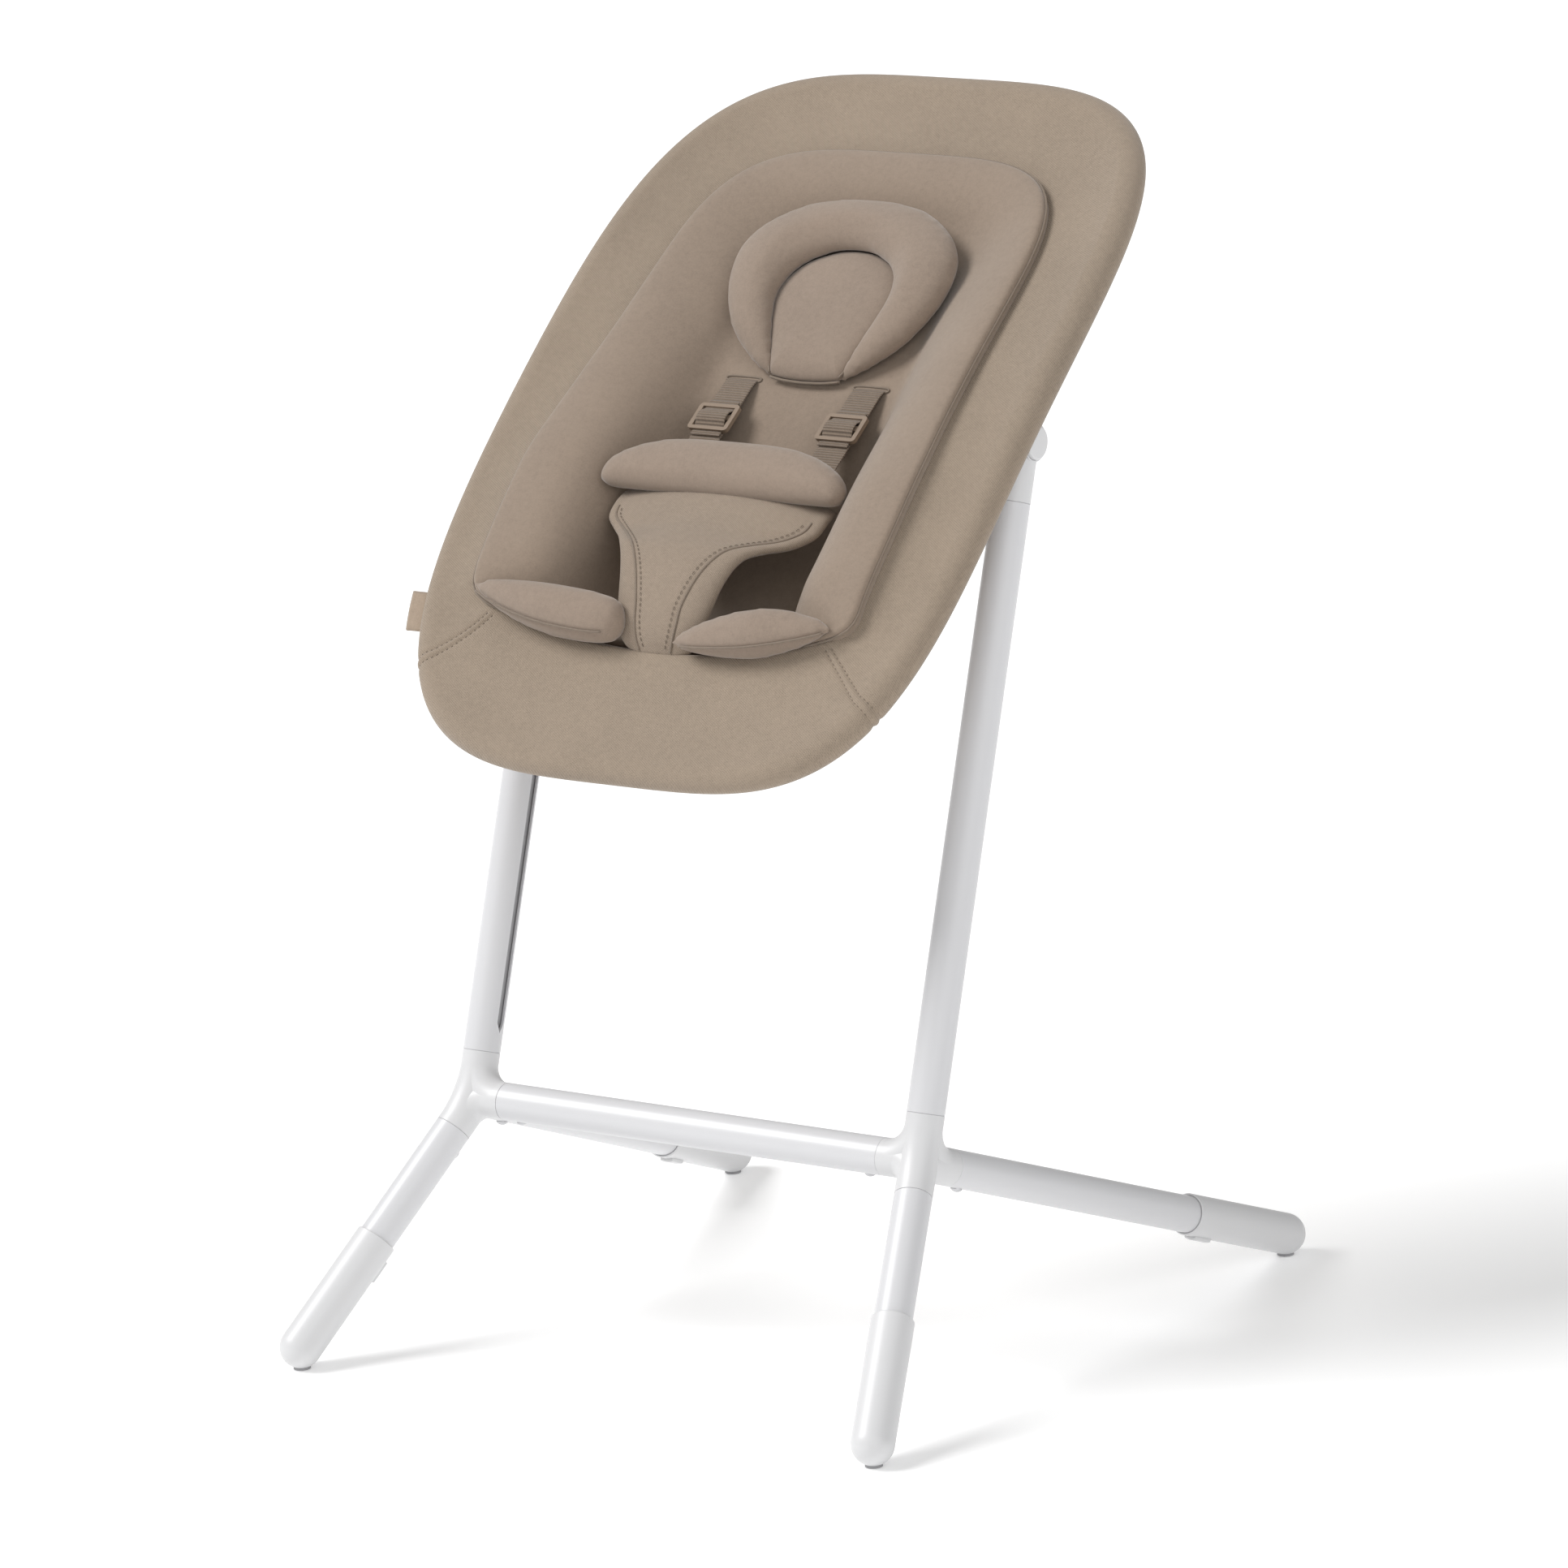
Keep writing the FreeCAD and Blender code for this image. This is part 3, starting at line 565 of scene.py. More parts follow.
# Steps outward and up from the ridge line, in millimetres, round the liner's rolled edge.
EDGE_PROFILE = [(-3.6, -0.5), (-1.6, -1.0), (-0.2, -2.2), (0.5, -4.0), (0.5, -5.4), (0.9, -7.0),
                (0.6, -9.5), (0.0, -12.0), (-2.0, -14.0)]
PIPING_AT = (1.0, -4.8)
TOP_INSET = 5 * MM
BASE_INSET = 8 * MM


def make_liner():
    """The padded liner: floor, side wings and head bolster in one closed form with a rolled edge."""
    loop = liner_outline(110)
    out = outward(loop)
    middle = spine_point(loop, LINER_SPINE_HEAD)
    rim_height = liner_top(loop[:, 0] * 0.98, loop[:, 1])
    rings = []
    for u in LINER_STEPS:
        place = middle + (loop - out * TOP_INSET - middle) * u
        rings.append(seat(place[:, 0], place[:, 1], liner_top(place[:, 0], place[:, 1])))
    for step, drop in EDGE_PROFILE:
        place = loop + out * step * MM
        rings.append(seat(place[:, 0], place[:, 1], rim_height + drop * MM))
    for u in LINER_STEPS[::-1]:
        place = middle + (loop - out * BASE_INSET - middle) * u
        below = liner_top(place[:, 0], place[:, 1]) - LINER_DEPTH
        rings.append(seat(place[:, 0], place[:, 1], below))
    seam = loop + out * PIPING_AT[0] * MM
    line = seat(seam[:, 0], seam[:, 1], rim_height + PIPING_AT[1] * MM)
    return loop_mesh("liner", rings), tube("liner_piping", line, 0.9 * MM, closed=True)


# ------------------------------------------------------------------ pillow

PILLOW_OUTER = [(35, 28), (56, 42), (75, 61), (87, 84), (92, 105), (91, 124), (83, 140), (68, 154),
                (45, 166), (20, 171), (0, 172)]
PILLOW_INNER = [(29, 31), (38, 51), (45, 72), (48, 90), (45, 105), (34, 119), (15, 128), (0, 130)]
PILLOW_LIFT = 1.5 * MM
PILLOW_THICKNESS = 23.5 * MM
PAD_BOTTOM = [(0, 28), (16, 28.8), (29, 31)]
PAD_CENTRE = np.array([0, 80 * MM])
# Share of the way out from the centre, and lift in millimetres, over the top and back underneath.
PAD_LAYERS = [(0.0, 14.5), (0.25, 14.3), (0.5, 13.7), (0.7, 12.7), (0.84, 11.1), (0.93, 9.0),
              (0.99, 6.4), (1.0, 4.0), (0.97, 1.0), (0.8, 0.0), (0.4, 0.0), (0.0, 0.0)]


def arch(points, count):
    """A closed-top arch: the right half's control points, mirrored to the left."""
    half = curve_through(np.array(points) * MM, count)
    half[-1, 0] = 0
    return np.concatenate([half, half[-2::-1] * [-1, 1]])


def pad_bottom():
    """The pad's lower edge, from left to right."""
    half = curve_through(np.array(PAD_BOTTOM) * MM, 14)
    return np.concatenate([half[::-1] * [-1, 1], half[1:]])


def on_pillow(place, lift):
    """Points at a lift above the liner, where the pillow lies."""
    return seat(place[:, 0], place[:, 1], floor_h(place[:, 1]) + PILLOW_LIFT + lift)


def make_pillow_ring():
    """Horseshoe cushion: fat round the head, tapering to points beside the pad's lower corners."""
    outer, inner = arch(PILLOW_OUTER, 60), arch(PILLOW_INNER, 60)
    middle, half = (outer + inner) / 2, (outer - inner) / 2
    width = np.linalg.norm(half, axis=1)
    thick = np.maximum(PILLOW_THICKNESS * (width / (22 * MM)) ** 0.75, 1.5 * MM)
    rings = []
    for turn in turns(28):
        place = middle + half * squared_off(math.cos(turn), 0.85)
        up = math.sin(turn)
        lift = thick * (0.5 + (0.5 if up > 0 else 0.42) * up)
        rings.append(on_pillow(place, lift))
    return ring_stack("head_pillow_ring", np.array(rings).transpose(1, 0, 2))


def make_pillow_pad():
    """Flatter arch-topped pad inside the horseshoe, with a nearly straight lower edge."""
    loop = np.concatenate([arch(PILLOW_INNER, 60), pad_bottom()[1:-1]])
    widened = 1 + 0.1 * smooth((loop[:, 1:] - 45 * MM) / (50 * MM))
    reach = (loop - PAD_CENTRE) * widened
    return loop_mesh("head_pillow_pad", [on_pillow(PAD_CENTRE + reach * u, lift * MM)
                                         for u, lift in PAD_LAYERS])


def make_pillow_seams():
    """Sewn lines between the horseshoe and the pad, and the flange along the pad's lower edge."""
    line = on_pillow(arch(PILLOW_INNER, 60), 6.5 * MM)
    bottom = pad_bottom()
    flange = bottom - [0, 1.2 * MM]
    low = seat(flange[:, 0], flange[:, 1], floor_h(bottom[:, 1]) + PILLOW_LIFT + 3.4 * MM)
    return tube("pillow_seam", line, 0.8 * MM), tube("pillow_lower_seam", low, 1.0 * MM)


# ------------------------------------------------------------------ thigh pads and harness

THIGH_HALF_DEPTH = 12.5 * MM
THIGH_LEAN = math.radians(38)
THIGH_SEAM_TURN = math.radians(118)


def leaned(x, a, h, across, up, lean):
    """Points of a section about (x, a, h), turned by a lean that raises its head side."""
    return seat(x, a + across * math.cos(lean) - up * math.sin(lean),
                h + across * math.sin(lean) + up * math.cos(lean))


class Cushion:
    """Size and place of one thigh pad; the two lie a little differently in the well."""

    def __init__(self, inner, outer, half_width, widest, inner_power, outer_power, sag):
        self.inner = np.array(inner) * MM
        self.outer = np.array(outer) * MM
        self.half_width = half_width * MM
        self.widest = widest
        self.inner_power = inner_power
        self.outer_power = outer_power
        self.sag = sag * MM

    def point(self, t, turn, grow=0.0):
        """A point of the pad: t from its inner to its outer end, turn round it."""
        if t < self.widest:
            power, away = self.inner_power, 1 - t / self.widest
        else:
            power, away = self.outer_power, (t - self.widest) / (1 - self.widest)
        size = max(0.015, 1 - away ** power) ** (1 / power)
        x, a, h = self.inner + (self.outer - self.inner) * t
        a -= self.sag * 4 * t * (1 - t)
        across = (self.half_width * size + grow) * np.cos(turn)
        up = (THIGH_HALF_DEPTH * size + grow) * np.sin(turn)
        return leaned(x, a, h, across, up, THIGH_LEAN)


THIGH_PADS = {
    "right": Cushion((18, -211, 27.5), (146, -193.5, 37), 17.5, 0.52, 1.6, 1.6, -1),
    "left": Cushion((-24, -201, 31), (-153, -188, 38), 18.5, 0.4, 4.0, 1.6, 4),
}


def make_thigh_pad(name, side):
    """Teardrop cushion across the front corner of the well."""
    along = (1 - np.cos(np.linspace(0, math.pi, 40))) / 2
    return ring_stack(name, [THIGH_PADS[side].point(t, turns(28)) for t in along])


def make_thigh_seam(name, side):
    """The sewn line along the lower front of a thigh pad."""
    along = np.linspace(0.08, 0.96, 60)
    return tube(name, [THIGH_PADS[side].point(t, THIGH_SEAM_TURN, 0.9 * MM) for t in along], 0.7 * MM)


BUMPER_HALF_LENGTH = 101
BUMPER_TOP = -51
BUMPER_SHOULDER = 24
BUMPER_LOW = -92.5
BUMPER_HALF_DEPTH = 12.5
BUMPER_END_DEPTH = 3.5
BUMPER_ROUND_FROM = 0.9
BUMPER_H = 36.5
BUMPER_LEAN = math.radians(12)


def bumper_section(t):
    """Points round the bumper at t from -1 at its left end to 1 at its right one."""
    top = BUMPER_TOP - BUMPER_SHOULDER * abs(t) ** 3.6
    low = BUMPER_LOW + abs(t)
    tip = max(0, abs(t) - BUMPER_ROUND_FROM) / (1 - BUMPER_ROUND_FROM)
    end = math.sqrt(1 - 0.8 * tip ** 2)
    reach = (top - low) / 2 * end
    depth = max(BUMPER_END_DEPTH, BUMPER_HALF_DEPTH * (1 - abs(t) ** 10) ** 0.5)
    across = squared_off(np.cos(turns(30)), 0.8) * reach
    up = squared_off(np.sin(turns(30)), 0.9) * depth
    centre = (BUMPER_HALF_LENGTH * t, (top + low) / 2, BUMPER_H - 2.5 * t ** 2)
    return leaned(*[c * MM for c in centre], across * MM, up * MM, BUMPER_LEAN)


def make_bumper():
    """Arched waist pad: high in the middle, nearly straight along its lower edge."""
    along = np.sin(np.linspace(-math.pi / 2, math.pi / 2, 51))
    return ring_stack("waist_bumper", [bumper_section(t) for t in along])


# Place a, height and half width of the face, and flare of its sides, in millimetres.
CROTCH = [(-213, 14, 12.5, 6), (-207, 22, 15.2, 13.5), (-198, 29, 17.3, 17.5), (-185, 36, 19.3, 18.5),
          (-164, 43, 26.7, 16), (-147, 45, 37, 13), (-134, 42, 51, 10), (-122, 38.5, 66, 9),
          (-111, 36.5, 78, 8), (-97, 35, 80, 8), (-84, 31, 80, 8)]
CROTCH_CROWN = 1.5 * MM
WELT_INSET = 0.2 * MM
WELT_LIFT = 0.1 * MM
STITCH_INSET = 4.5 * MM
STITCH_LIFT = 0.4 * MM


def crotch_line(count):
    """Stations of the crotch panel as (a, height and half width of the face, flare), in metres."""
    return curve_through(np.array(CROTCH) * MM, count)


def crotch_face(x, h, half):
    """Height of the crotch panel's face: crowned, and falling towards the sides where it flares."""
    share = np.clip(np.abs(x / half), 0, 1)
    drop = 9 * MM * smooth((half - 36 * MM) / (34 * MM))
    return h + CROTCH_CROWN * (1 - share ** 2) - drop * share ** 2


def make_crotch_panel():
    """Padded panel from the front edge up to the bumper: a flat face with soft rolled sides."""
    rings = []
    face = np.linspace(1, -1, 27)
    turn = np.linspace(0, math.pi, 17)[1:-1]
    for a, h, half, flare in crotch_line(60):
        edge_h = crotch_face(half, h, half)
        roll = 1.5 * MM + 0.36 * flare
        roll_x = half + flare * np.sin(turn)
        roll_h = edge_h - roll * (1 - np.cos(turn))
        base = np.linspace(-half, half, 9)
        x = np.concatenate([face * half, -roll_x, base, roll_x[::-1]])
        base_h = np.full(len(base), edge_h - 2 * roll)
        up = np.concatenate([crotch_face(face * half, h, half), roll_h, base_h, roll_h[::-1]])
        rings.append(seat(x, a, up))
    return ring_stack("crotch_pad", rings)


def make_crotch_stitching():
    """Topstitched welt along both edges of the crotch panel's face."""
    threads = []
    for name, side in (("right_crotch_stitch", 1), ("left_crotch_stitch", -1)):
        path, welt = [], []
        for a, h, half, _ in crotch_line(70)[1:-8]:
            for line, inset, lift in ((path, STITCH_INSET, STITCH_LIFT), (welt, WELT_INSET, WELT_LIFT)):
                x = half - inset
                line.append(seat(side * x, a, crotch_face(x, h, half) + lift))
        threads.append(stitches(name, even(np.array(path), 120), 0.45 * MM))
        threads.append(tube(name.replace("stitch", "welt"), even(np.array(welt), 120), 0.9 * MM))
    return threads


# ------------------------------------------------------------------ straps

STRAP_X = 53 * MM
STRAP_HALF = 12.5 * MM
WEBBING = 1.5 * MM
STRAP_PATH_A = [34, 30, 27, 24, 20, 12, 0, -12, -24, -36, -48, -51]
SLOT_H = [1.0, 3.2, 5.4, 6.6]
STRAP_TURN = [(-28, 2.7), (-22, 2.8), (-18.5, 4.2), (-15.6, 6.4), (-12, 7.0), (-8.4, 6.4),
              (-5.5, 4.2), (-2, 2.9), (4, 2.7)]
SLOT_A = 29.5 * MM
SLOT_HALF = (14.5 * MM, 1.9 * MM)


def strap_h(a):
    """Underside of the shoulder strap."""
    return 6 * MM + (27 * MM - a) / 11


def webbing(name, side, path, half=STRAP_HALF):
    """A flat band of webbing along a path of (a, h), with rounded edges."""
    along = unit(np.gradient(path, axis=0))
    normal = np.stack([-along[:, 1], along[:, 0]], -1)
    normal *= np.sign(normal[:, 1:2].mean()) or 1
    across = half * squared_off(np.cos(turns(24)), 0.35)
    up = WEBBING / 2 * squared_off(np.sin(turns(24)), 0.6)
    rings = []
    for (a, h), (na, nh) in zip(path, normal):
        rings.append(seat(side * STRAP_X + across, a + na * up, h + nh * up))
    return ring_stack(name, rings)


def make_strap(name, side):
    """Shoulder strap: out of its slot, down under the ladder lock, to the clip below the bumper."""
    a = np.array(STRAP_PATH_A) * MM
    h = strap_h(a) + WEBBING / 2
    h[:len(SLOT_H)] = np.array(SLOT_H) * MM
    return webbing(name, side, curve_through(np.stack([a, h], -1), 70))


def make_strap_loop(name, side):
    """The webbing's turn over the bar of the ladder lock."""
    path = [(a * MM, strap_h(a * MM) + lift * MM) for a, lift in STRAP_TURN]
    return webbing(name, side, curve_through(path, 50), STRAP_HALF - 0.3 * MM)


def make_strap_slot(name, side):
    """Hemmed slit in the liner that the strap comes out of."""
    x = side * STRAP_X + SLOT_HALF[0] * squared_off(np.cos(turns(64)), 0.4)
    a = SLOT_A + SLOT_HALF[1] * squared_off(np.sin(turns(64)), 0.7)
    line = seat(x, a, liner_top(x, a) + 0.3 * MM)
    return tube(name, line, 0.75 * MM, closed=True)


TAG_FOOT, TAG_HEAD = -212 * MM, -182 * MM
TAG_START = 6 * MM
TAG_LENGTH = 21 * MM
TAG_THICKNESS = 1.1 * MM
TAG_HEM = (0.93, 0.5 * MM)


def make_tag():
    """Blank cloth tag, folded over and sewn under the rim's left side."""
    rings = []
    a = np.linspace(TAG_FOOT, TAG_HEAD, 12)
    reach = np.abs(a - RIM_CENTRE_A) / RIM_HALF_LENGTH
    edge = RIM_HALF_WIDTH * (1 - reach ** RIM_POWER) ** (1 / RIM_POWER)
    for t in np.linspace(0, 1, 14):
        x = -(edge + TAG_START + TAG_LENGTH * t)
        wave = 0.8 * MM * math.sin(t * 2.4)
        half = TAG_THICKNESS / 2 + TAG_HEM[1] / 2 * (abs(t - TAG_HEM[0]) < 0.05)
        upper = seat(x, a, rim_h(a) + half + wave)
        lower = seat(x[::-1], a[::-1], rim_h(a[::-1]) - half + wave)
        rings.append(np.concatenate([upper, lower]))
    return ring_stack("side_label", rings)


# ------------------------------------------------------------------ materials

NOISE_ROUGHNESS = 0.55


def srgb(red, green, blue):
    """Linear colour of an 8-bit sRGB one."""
    linear = [((c / 255 + 0.055) / 1.055) ** 2.4 if c > 10 else c / 255 / 12.92 for c in (red, green, blue)]
    return (*linear, 1)


class Nodes:
    """A small builder for one material's node tree."""

    def __init__(self, name, roughness, **constants):
        self.material = bpy.data.materials.new(name)
        self.material.use_nodes = True
        self.tree = self.material.node_tree
        self.shader = self.tree.nodes["Principled BSDF"]
        self.shader.inputs["Roughness"].default_value = roughness
        for key, value in constants.items():
            self.shader.inputs[key.replace("_", " ")].default_value = value

    def node(self, kind, **settings):
        """Adds a node with its settings."""
        node = self.tree.nodes.new(kind)
        for key, value in settings.items():
            setattr(node, key, value)
        return node

    def link(self, source, target):
        """Joins two sockets."""
        self.tree.links.new(source, target)

    def math(self, operation, first, second=None):
        """A maths node on sockets or numbers."""
        node = self.node("ShaderNodeMath", operation=operation)
        for socket, value in zip(node.inputs, (first, second)):
            if hasattr(value, "is_linked"):
                self.link(value, socket)
            elif value is not None:
                socket.default_value = value
        return node.outputs[0]

    def axes(self, tilted):
        """Object coordinates as three sockets, turned into the seat plane if tilted."""
        place = self.node("ShaderNodeTexCoord").outputs["Object"]
        if tilted:
            turn = self.node("ShaderNodeMapping")
            turn.inputs["Rotation"].default_value = (-TILT, 0, 0)
            self.link(place, turn.inputs["Vector"])
            place = turn.outputs[0]
        split = self.node("ShaderNodeSeparateXYZ")
        self.link(place, split.inputs[0])
        return place, split.outputs

    def wave(self, value, pitch):
        """A sine of a distance, one period per pitch."""
        return self.math("SINE", self.math("MULTIPLY", value, 2 * math.pi / pitch))

    def noise(self, place, scale, detail=3.0):
        """Noise by position."""
        node = self.node("ShaderNodeTexNoise")
        node.inputs["Scale"].default_value = scale
        node.inputs["Detail"].default_value = detail
        node.inputs["Roughness"].default_value = NOISE_ROUGHNESS
        self.link(place, node.inputs["Vector"])
        return node.outputs[0]

    def ramp(self, value, stops):
        """Colours between stops of (position, colour)."""
        node = self.node("ShaderNodeValToRGB")
        for element, (position, colour) in zip(node.color_ramp.elements, (stops[0], stops[-1])):
            element.position = position
            element.color = colour
        for position, colour in stops[1:-1]:
            node.color_ramp.elements.new(position).color = colour
        self.link(value, node.inputs[0])
        return node.outputs[0]

    def bump(self, height, distance, strength=1.0, below=None):
        """Adds a bump, over an earlier one if given."""
        node = self.node("ShaderNodeBump")
        node.inputs["Distance"].default_value = distance
        node.inputs["Strength"].default_value = strength
        self.link(height, node.inputs["Height"])
        if below:
            self.link(below, node.inputs["Normal"])
        return node.outputs[0]

    def finish(self, colour, normal):
        """Joins colour and normal to the shader."""
        self.link(colour, self.shader.inputs["Base Color"])
        self.link(normal, self.shader.inputs["Normal"])
        return self.material


def shade(colour, factor):
    """A colour made lighter or darker."""
    return (*[min(1, c * factor) for c in colour[:3]], 1)


def cloth_colour(nodes, place, weave, colour, depth):
    """Colour that drifts a little over the cloth, with painted shade in the grooves of the weave and
    painted light on its ridges, as strong as depth.
    """
    drift = nodes.math("MULTIPLY", nodes.noise(place, 14), 0.35)
    mottle = nodes.math("MULTIPLY", nodes.noise(place, 260, 2.0), 0.35)
    yarn = nodes.math("MULTIPLY", nodes.noise(place, 900, 1.0), 0.3)
    cloud = nodes.math("ADD", drift, nodes.math("ADD", mottle, yarn))
    # Painted shade and light: the weave darkens the colour in its grooves and lightens it on its ridges.
    cloud_and_weave_shade = nodes.math("ADD", cloud, nodes.math("MULTIPLY", weave, depth))
    return nodes.ramp(cloud_and_weave_shade, [(0.1, shade(colour, 0.7)), (0.5, colour), (0.9, shade(colour, 1.22))])


def twill(name, colour, pitch=1.5 * MM):
    """Twill: fine diagonal ribs crossed by yarns."""
    nodes = Nodes(name, 0.92, Sheen_Weight=0.25, Sheen_Roughness=0.45, Specular_IOR_Level=0.25)
    place, (x, a, _) = nodes.axes(True)
    rib = nodes.wave(nodes.math("ADD", a, nodes.math("MULTIPLY", x, 0.62)), pitch)
    yarn = nodes.wave(nodes.math("SUBTRACT", x, nodes.math("MULTIPLY", a, 0.2)), pitch * 0.9)
    weave = nodes.math("ADD", nodes.math("MULTIPLY", rib, 0.6),
                       nodes.math("MULTIPLY", nodes.math("MULTIPLY", rib, yarn), 0.4))
    tone = cloth_colour(nodes, place, weave, colour, 0.2)
    soft = nodes.bump(nodes.noise(place, 26, 2.0), 1.2 * MM, 0.35)
    return nodes.finish(tone, nodes.bump(weave, 0.16 * MM, 0.8, soft))


def jersey(name, colour, pitch=0.9 * MM):
    """Smooth knitted jersey with faint vertical ribs and slow puckers."""
    nodes = Nodes(name, 0.95, Sheen_Weight=0.35, Sheen_Roughness=0.5, Specular_IOR_Level=0.2)
    place, (x, a, _) = nodes.axes(True)
    loop = nodes.math("MULTIPLY", nodes.wave(x, pitch), nodes.wave(a, pitch * 0.8))
    tone = cloth_colour(nodes, place, loop, colour, 0.06)
    soft = nodes.bump(nodes.noise(place, 20, 2.5), 2.0 * MM, 0.4)
    return nodes.finish(tone, nodes.bump(loop, 0.06 * MM, 0.6, soft))


def ribbed(name, colour, pitch=2.2 * MM):
    """Webbing with ribs across its width."""
    nodes = Nodes(name, 0.85, Sheen_Weight=0.2, Specular_IOR_Level=0.3)
    place, (x, a, _) = nodes.axes(True)
    rib = nodes.wave(a, pitch)
    weave = nodes.math("ADD", nodes.math("MULTIPLY", rib, 0.75),
                       nodes.math("MULTIPLY", nodes.wave(x, 0.9 * MM), 0.25))
    tone = cloth_colour(nodes, place, weave, colour, 0.36)
    return nodes.finish(tone, nodes.bump(weave, 0.4 * MM, 1.0))


def thread(name, colour):
    """Twisted sewing thread."""
    nodes = Nodes(name, 0.75, Sheen_Weight=0.2)
    place, (x, a, h) = nodes.axes(True)
    twist = nodes.wave(nodes.math("ADD", nodes.math("ADD", x, a), h), 0.6 * MM)
    return nodes.finish(cloth_colour(nodes, place, twist, colour, 0.15), nodes.bump(twist, 0.08 * MM, 0.7))


def plastic(name, colour, roughness, grain, depth):
    """Moulded plastic with a fine eroded grain."""
    nodes = Nodes(name, roughness, Specular_IOR_Level=0.5)
    place, _ = nodes.axes(False)
    drift = nodes.noise(place, 6, 2.0)
    tone = nodes.ramp(drift, [(0.25, shade(colour, 0.97)), (0.75, colour)])
    return nodes.finish(tone, nodes.bump(nodes.noise(place, grain, 2.0), depth, 0.5))


def paint(name, colour):
    """Powder coat: satin, with a very fine orange peel."""
    nodes = Nodes(name, 0.34, Specular_IOR_Level=0.45, Coat_Weight=0.12, Coat_Roughness=0.25)
    place, _ = nodes.axes(False)
    tone = nodes.ramp(nodes.noise(place, 5, 2.0), [(0.3, shade(colour, 0.98)), (0.7, colour)])
    peel = nodes.bump(nodes.noise(place, 380, 1.0), 0.05 * MM, 0.35)
    return nodes.finish(tone, nodes.bump(nodes.noise(place, 1500, 1.0), 0.012 * MM, 0.4, peel))


def metal(name, colour):
    """Turned steel."""
    nodes = Nodes(name, 0.32, Metallic=1.0)
    place, (_, _, z) = nodes.axes(False)
    rings = nodes.wave(z, 0.25 * MM)
    tone = nodes.ramp(nodes.noise(place, 60), [(0.3, shade(colour, 0.85)), (0.7, colour)])
    return nodes.finish(tone, nodes.bump(rings, 0.01 * MM, 0.5))


def floor_material():
    """Matt near-white floor."""
    nodes = Nodes("floor", 0.9, Specular_IOR_Level=0.1, Emission_Color=(1, 1, 1, 1), Emission_Strength=0.2)
    place, _ = nodes.axes(False)
    tone = nodes.ramp(nodes.noise(place, 2), [(0, (0.93, 0.93, 0.93, 1)), (1, (0.95, 0.95, 0.95, 1))])
    return nodes.finish(tone, nodes.bump(nodes.noise(place, 40), 0.02 * MM, 0.1))


# ------------------------------------------------------------------ placing

COVER_CLOTH = twill("cover_twill", srgb(149, 134, 118))
LINER_CLOTH = jersey("liner_jersey", srgb(143, 127, 112))
PAD_CLOTH = jersey("pad_jersey", srgb(144, 128, 114))
FACE_CLOTH = twill("harness_twill", srgb(147, 132, 117), 1.3 * MM)
STRAP_CLOTH = ribbed("strap_webbing", srgb(129, 113, 98))
SEAM_CLOTH = thread("seam_piping", srgb(130, 115, 100))
THREAD = thread("seam_thread", srgb(120, 105, 90))
TAG_CLOTH = jersey("tag_satin", srgb(163, 145, 127), 0.5 * MM)
WHITE_PAINT = paint("white_powder_coat", srgb(209, 209, 211))
WHITE_PLASTIC = plastic("white_plastic", srgb(211, 211, 212), 0.38, 900, 0.02 * MM)
RAIL_GREY = plastic("rail_plastic", srgb(168, 168, 170), 0.5, 700, 0.03 * MM)
GLIDE_GREY = plastic("glide_plastic", srgb(150, 150, 152), 0.6, 700, 0.04 * MM)
BUCKLE = plastic("buckle_plastic", srgb(138, 120, 103), 0.42, 900, 0.02 * MM)
STEEL = metal("screw_steel", srgb(200, 200, 202))

CAD_FINISHES = [
    (WHITE_PAINT, ("crossbar", "upright", "front_leg", "rear_leg", "cross_tube", "head_bow",
                   "foot_bow", "side_tube")),
    (WHITE_PLASTIC, ("hub", "head", "release_button", "lock_arm", "seat_bracket", "front_foot",
                     "rear_foot", "front_foot_latch", "rear_foot_latch")),
    (RAIL_GREY, ("guide_rail",)),
    (GLIDE_GREY, ("glide_pads",)),
    (STEEL, ("frame_screws", "pivot_pin")),
    (BUCKLE, ("strap_adjuster", "strap_clip")),
]


def sides(name):
    """The node itself, or its right and left ones."""
    return [name] if name in NODES else [f"right_{name}", f"left_{name}"]


def finish_frame():
    """Gives every CAD piece that stays visible its material."""
    for material, names in CAD_FINISHES:
        for node in [side for name in names for side in sides(name)]:
            mesh = NODES[node].data
            mesh.materials.clear()
            mesh.materials.append(material)


def place(obj, material, body, slot, fill=None, nodes=()):
    """Material, body and the CAD solids that a piece stands for; the record slot and padding are not used.
    """
    obj.data.materials.clear()
    obj.data.materials.append(material)
    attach(obj, body)
    if nodes:
        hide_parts(*nodes)
    return obj


def place_cover_and_liner():
    """Cover, liner and their trim."""
    cover = subdivide(make_cover())
    place(cover, COVER_CLOTH, "seat", "cover_fabric", 0.3,
          ("right_side_panel", "left_side_panel", "head_panel", "front_panel", "back_sling", "seat_sling",
           "front_wall"))
    binding, *threads = make_cover_trim()
    place(binding, SEAM_CLOTH, "seat", "cover_fabric")
    for row in threads:
        place(row, THREAD, "seat", "cover_fabric")
    liner, piping = make_liner()
    place(subdivide(liner), LINER_CLOTH, "seat", "liner_fabric", 0.7,
          ("liner_back", "liner_seat", "right_liner_wing", "left_liner_wing"))
    place(piping, SEAM_CLOTH, "seat", "liner_fabric")


def place_pillow():
    """Horseshoe, inner pad and seams."""
    ring = subdivide(puff(make_pillow_ring()))
    place(ring, PAD_CLOTH, "seat", "liner_fabric", 0.9, ("head_pillow",))
    pad = subdivide(make_pillow_pad())
    place(pad, PAD_CLOTH, "seat", "liner_fabric", 0.6, ("pillow_pad",))
    for seam in make_pillow_seams():
        place(seam, SEAM_CLOTH, "seat", "liner_fabric")


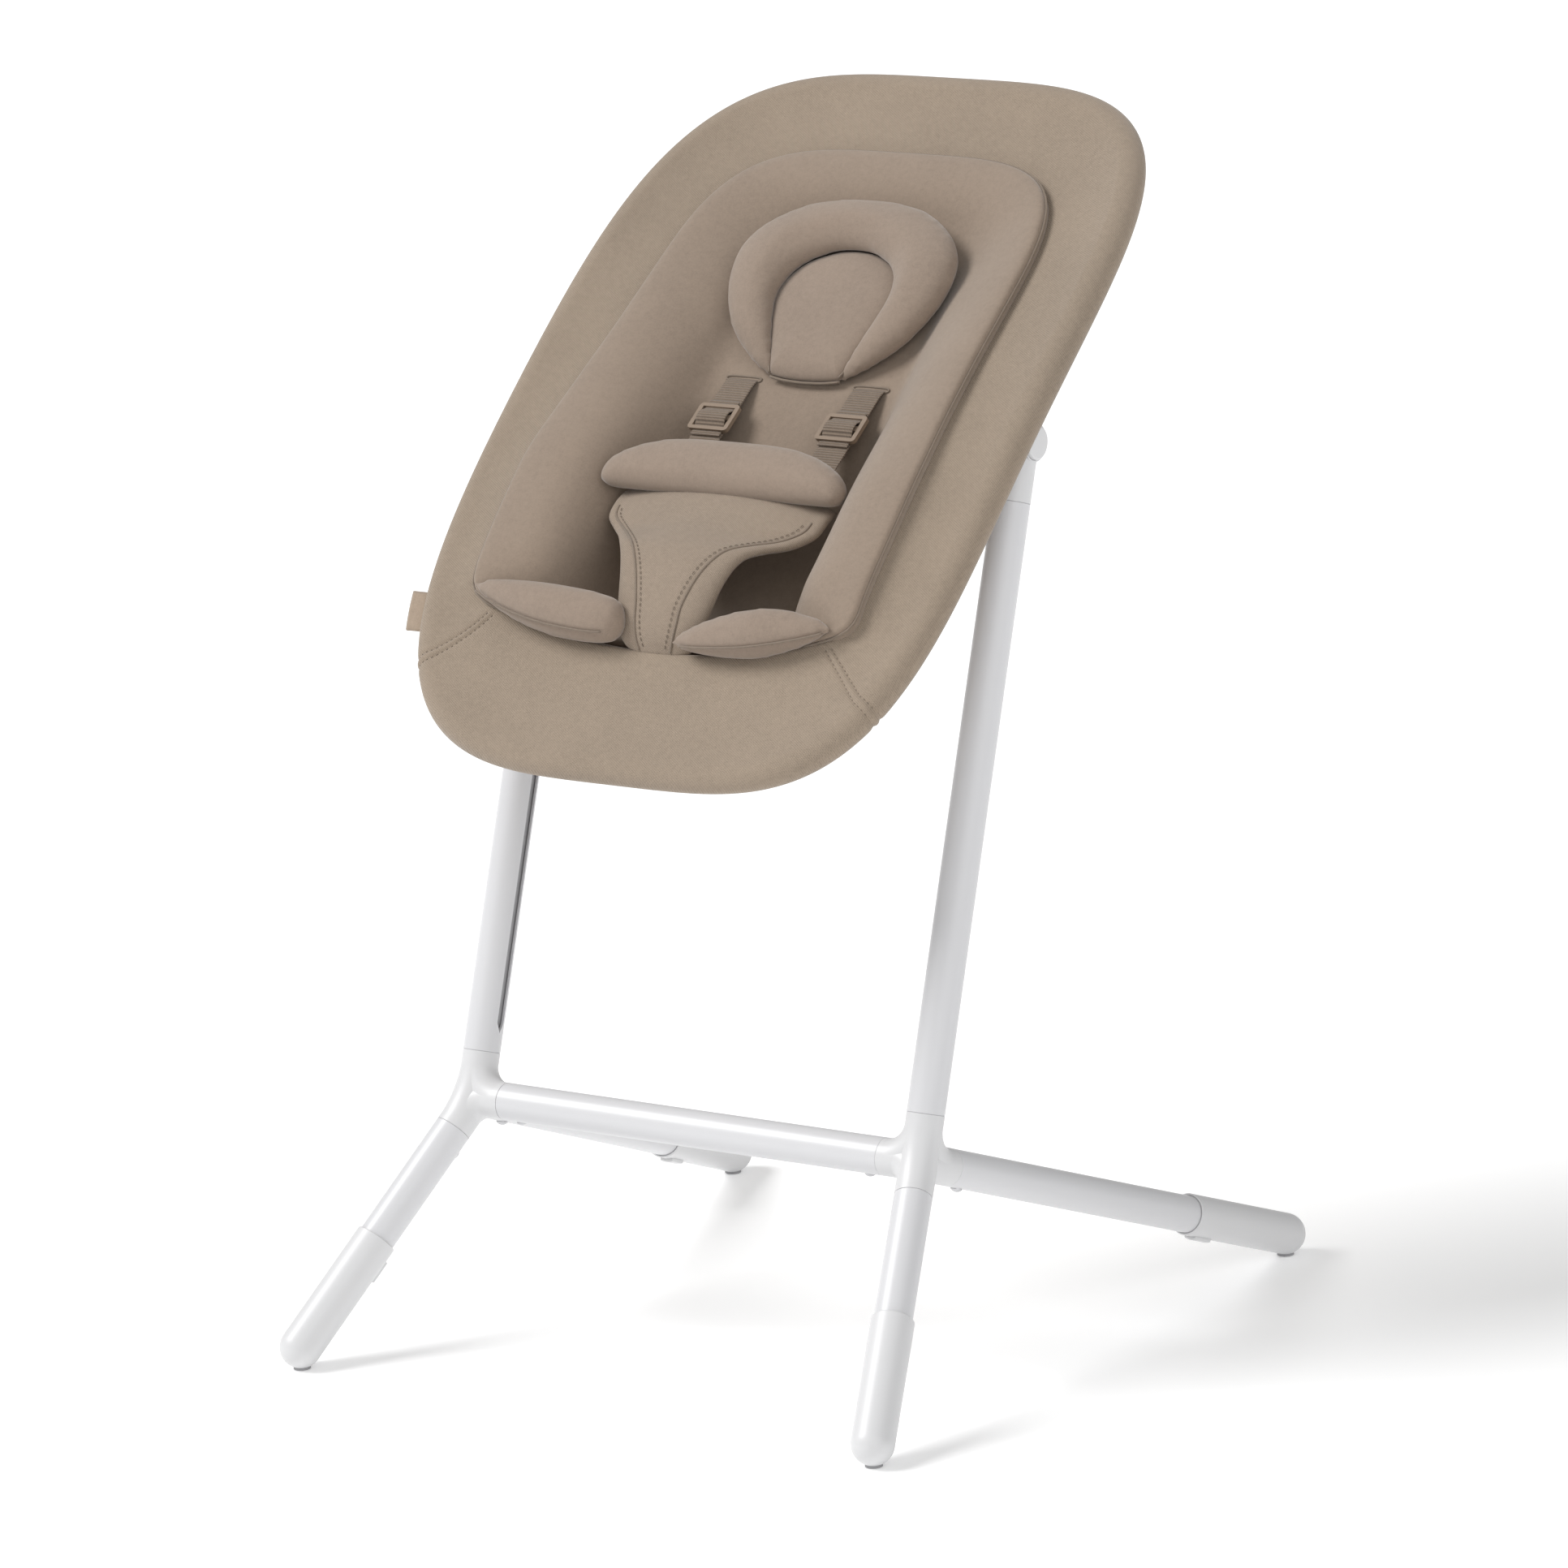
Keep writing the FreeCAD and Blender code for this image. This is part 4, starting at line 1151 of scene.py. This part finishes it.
def place_pads():
    """Thigh pads with their seams."""
    for side in ("right", "left"):
        name = f"{side}_thigh_pad"
        cushion = subdivide(puff(make_thigh_pad(f"{name}_cushion", side)))
        place(cushion, PAD_CLOTH, "seat", "liner_fabric", 0.85, (name,))
        place(make_thigh_seam(f"{name}_seam", side), SEAM_CLOTH, "seat", "liner_fabric")


def place_harness():
    """Bumper and crotch panel, which fold down together."""
    bumper = subdivide(puff(make_bumper()))
    place(bumper, PAD_CLOTH, "harness", "cover_fabric", 0.9, ("bumper",))
    panel = subdivide(make_crotch_panel())
    place(panel, FACE_CLOTH, "harness", "cover_fabric", 0.5, ("crotch_panel",))
    for piece in make_crotch_stitching():
        place(piece, THREAD if "stitch" in piece.name else SEAM_CLOTH, "harness", "cover_fabric")


def place_straps():
    """Shoulder straps, their slots and the turns round the ladder locks."""
    for side_name, side in (("right", 1), ("left", -1)):
        strap = make_strap(f"{side_name}_webbing", side)
        place(strap, STRAP_CLOTH, "seat", "webbing", nodes=(f"{side_name}_strap",))
        loop = make_strap_loop(f"{side_name}_webbing_turn", side)
        place(loop, STRAP_CLOTH, f"{side_name}_adjuster", "webbing")
        place(make_strap_slot(f"{side_name}_strap_slot", side), SEAM_CLOTH, "seat", "liner_fabric")


FLOOR_REACH = 30
FLOOR_DROP = 0.3 * MM
WORLD_STRENGTH = 0.42
# Name, strength, then the apparent size, azimuth and height in degrees.
SUNS = [("key", 2.4, 30, -54, 46), ("fill", 0.85, 60, 62, 24)]
CAMERA_RIGHT = Vector((0.81854, 0.57200, -0.05307))
CAMERA_UP = Vector((-0.09538, 0.22643, 0.96935))
CAMERA_BACK = Vector((0.56648, -0.78839, 0.23990))
CAMERA_TARGET = Vector((0, -0.1122, 0.4043)) + 0.0748 * CAMERA_RIGHT
CAMERA_DISTANCE = 5.7126
CAMERA_LENS = 194.5
CAMERA_SENSOR = 36


def set_stage():
    """Floor and soft daylight."""
    corners = [(FLOOR_REACH * x, FLOOR_REACH * y, 0) for x, y in ((-1, -1), (1, -1), (1, 1), (-1, 1))]
    floor = add_mesh("floor", corners, [(0, 1, 2, 3)])
    floor.location.z = -FLOOR_DROP
    floor.data.materials.append(floor_material())
    world = bpy.data.worlds.new("studio")
    world.use_nodes = True
    background = world.node_tree.nodes["Background"]
    background.inputs["Color"].default_value = (1, 1, 1, 1)
    background.inputs["Strength"].default_value = WORLD_STRENGTH
    scene = bpy.context.scene
    scene.world = world
    for name, strength, angle, azimuth, height in SUNS:
        lamp = bpy.data.lights.new(name, "SUN")
        lamp.energy = strength
        lamp.angle = math.radians(angle)
        sun = bpy.data.objects.new(name, lamp)
        sun.rotation_euler = (math.radians(90 - height), 0, math.radians(azimuth))
        scene.collection.objects.link(sun)
    scene.view_settings.view_transform = "Standard"


def set_camera():
    """Long lens at the photograph's angle."""
    data = bpy.data.cameras.new("camera")
    data.lens = CAMERA_LENS
    data.sensor_width = CAMERA_SENSOR
    camera = bpy.data.objects.new("camera", data)
    turn = Matrix((CAMERA_RIGHT, CAMERA_UP, CAMERA_BACK)).transposed().to_4x4()
    camera.matrix_world = Matrix.Translation(CAMERA_TARGET + CAMERA_DISTANCE * CAMERA_BACK) @ turn
    bpy.context.scene.collection.objects.link(camera)
    bpy.context.scene.camera = camera


finish_frame()
place_cover_and_liner()
place_pillow()
place_pads()
place_harness()
place_straps()
place(make_tag(), TAG_CLOTH, "seat", "tag_cloth", nodes=("side_tag",))
set_stage()
set_camera()
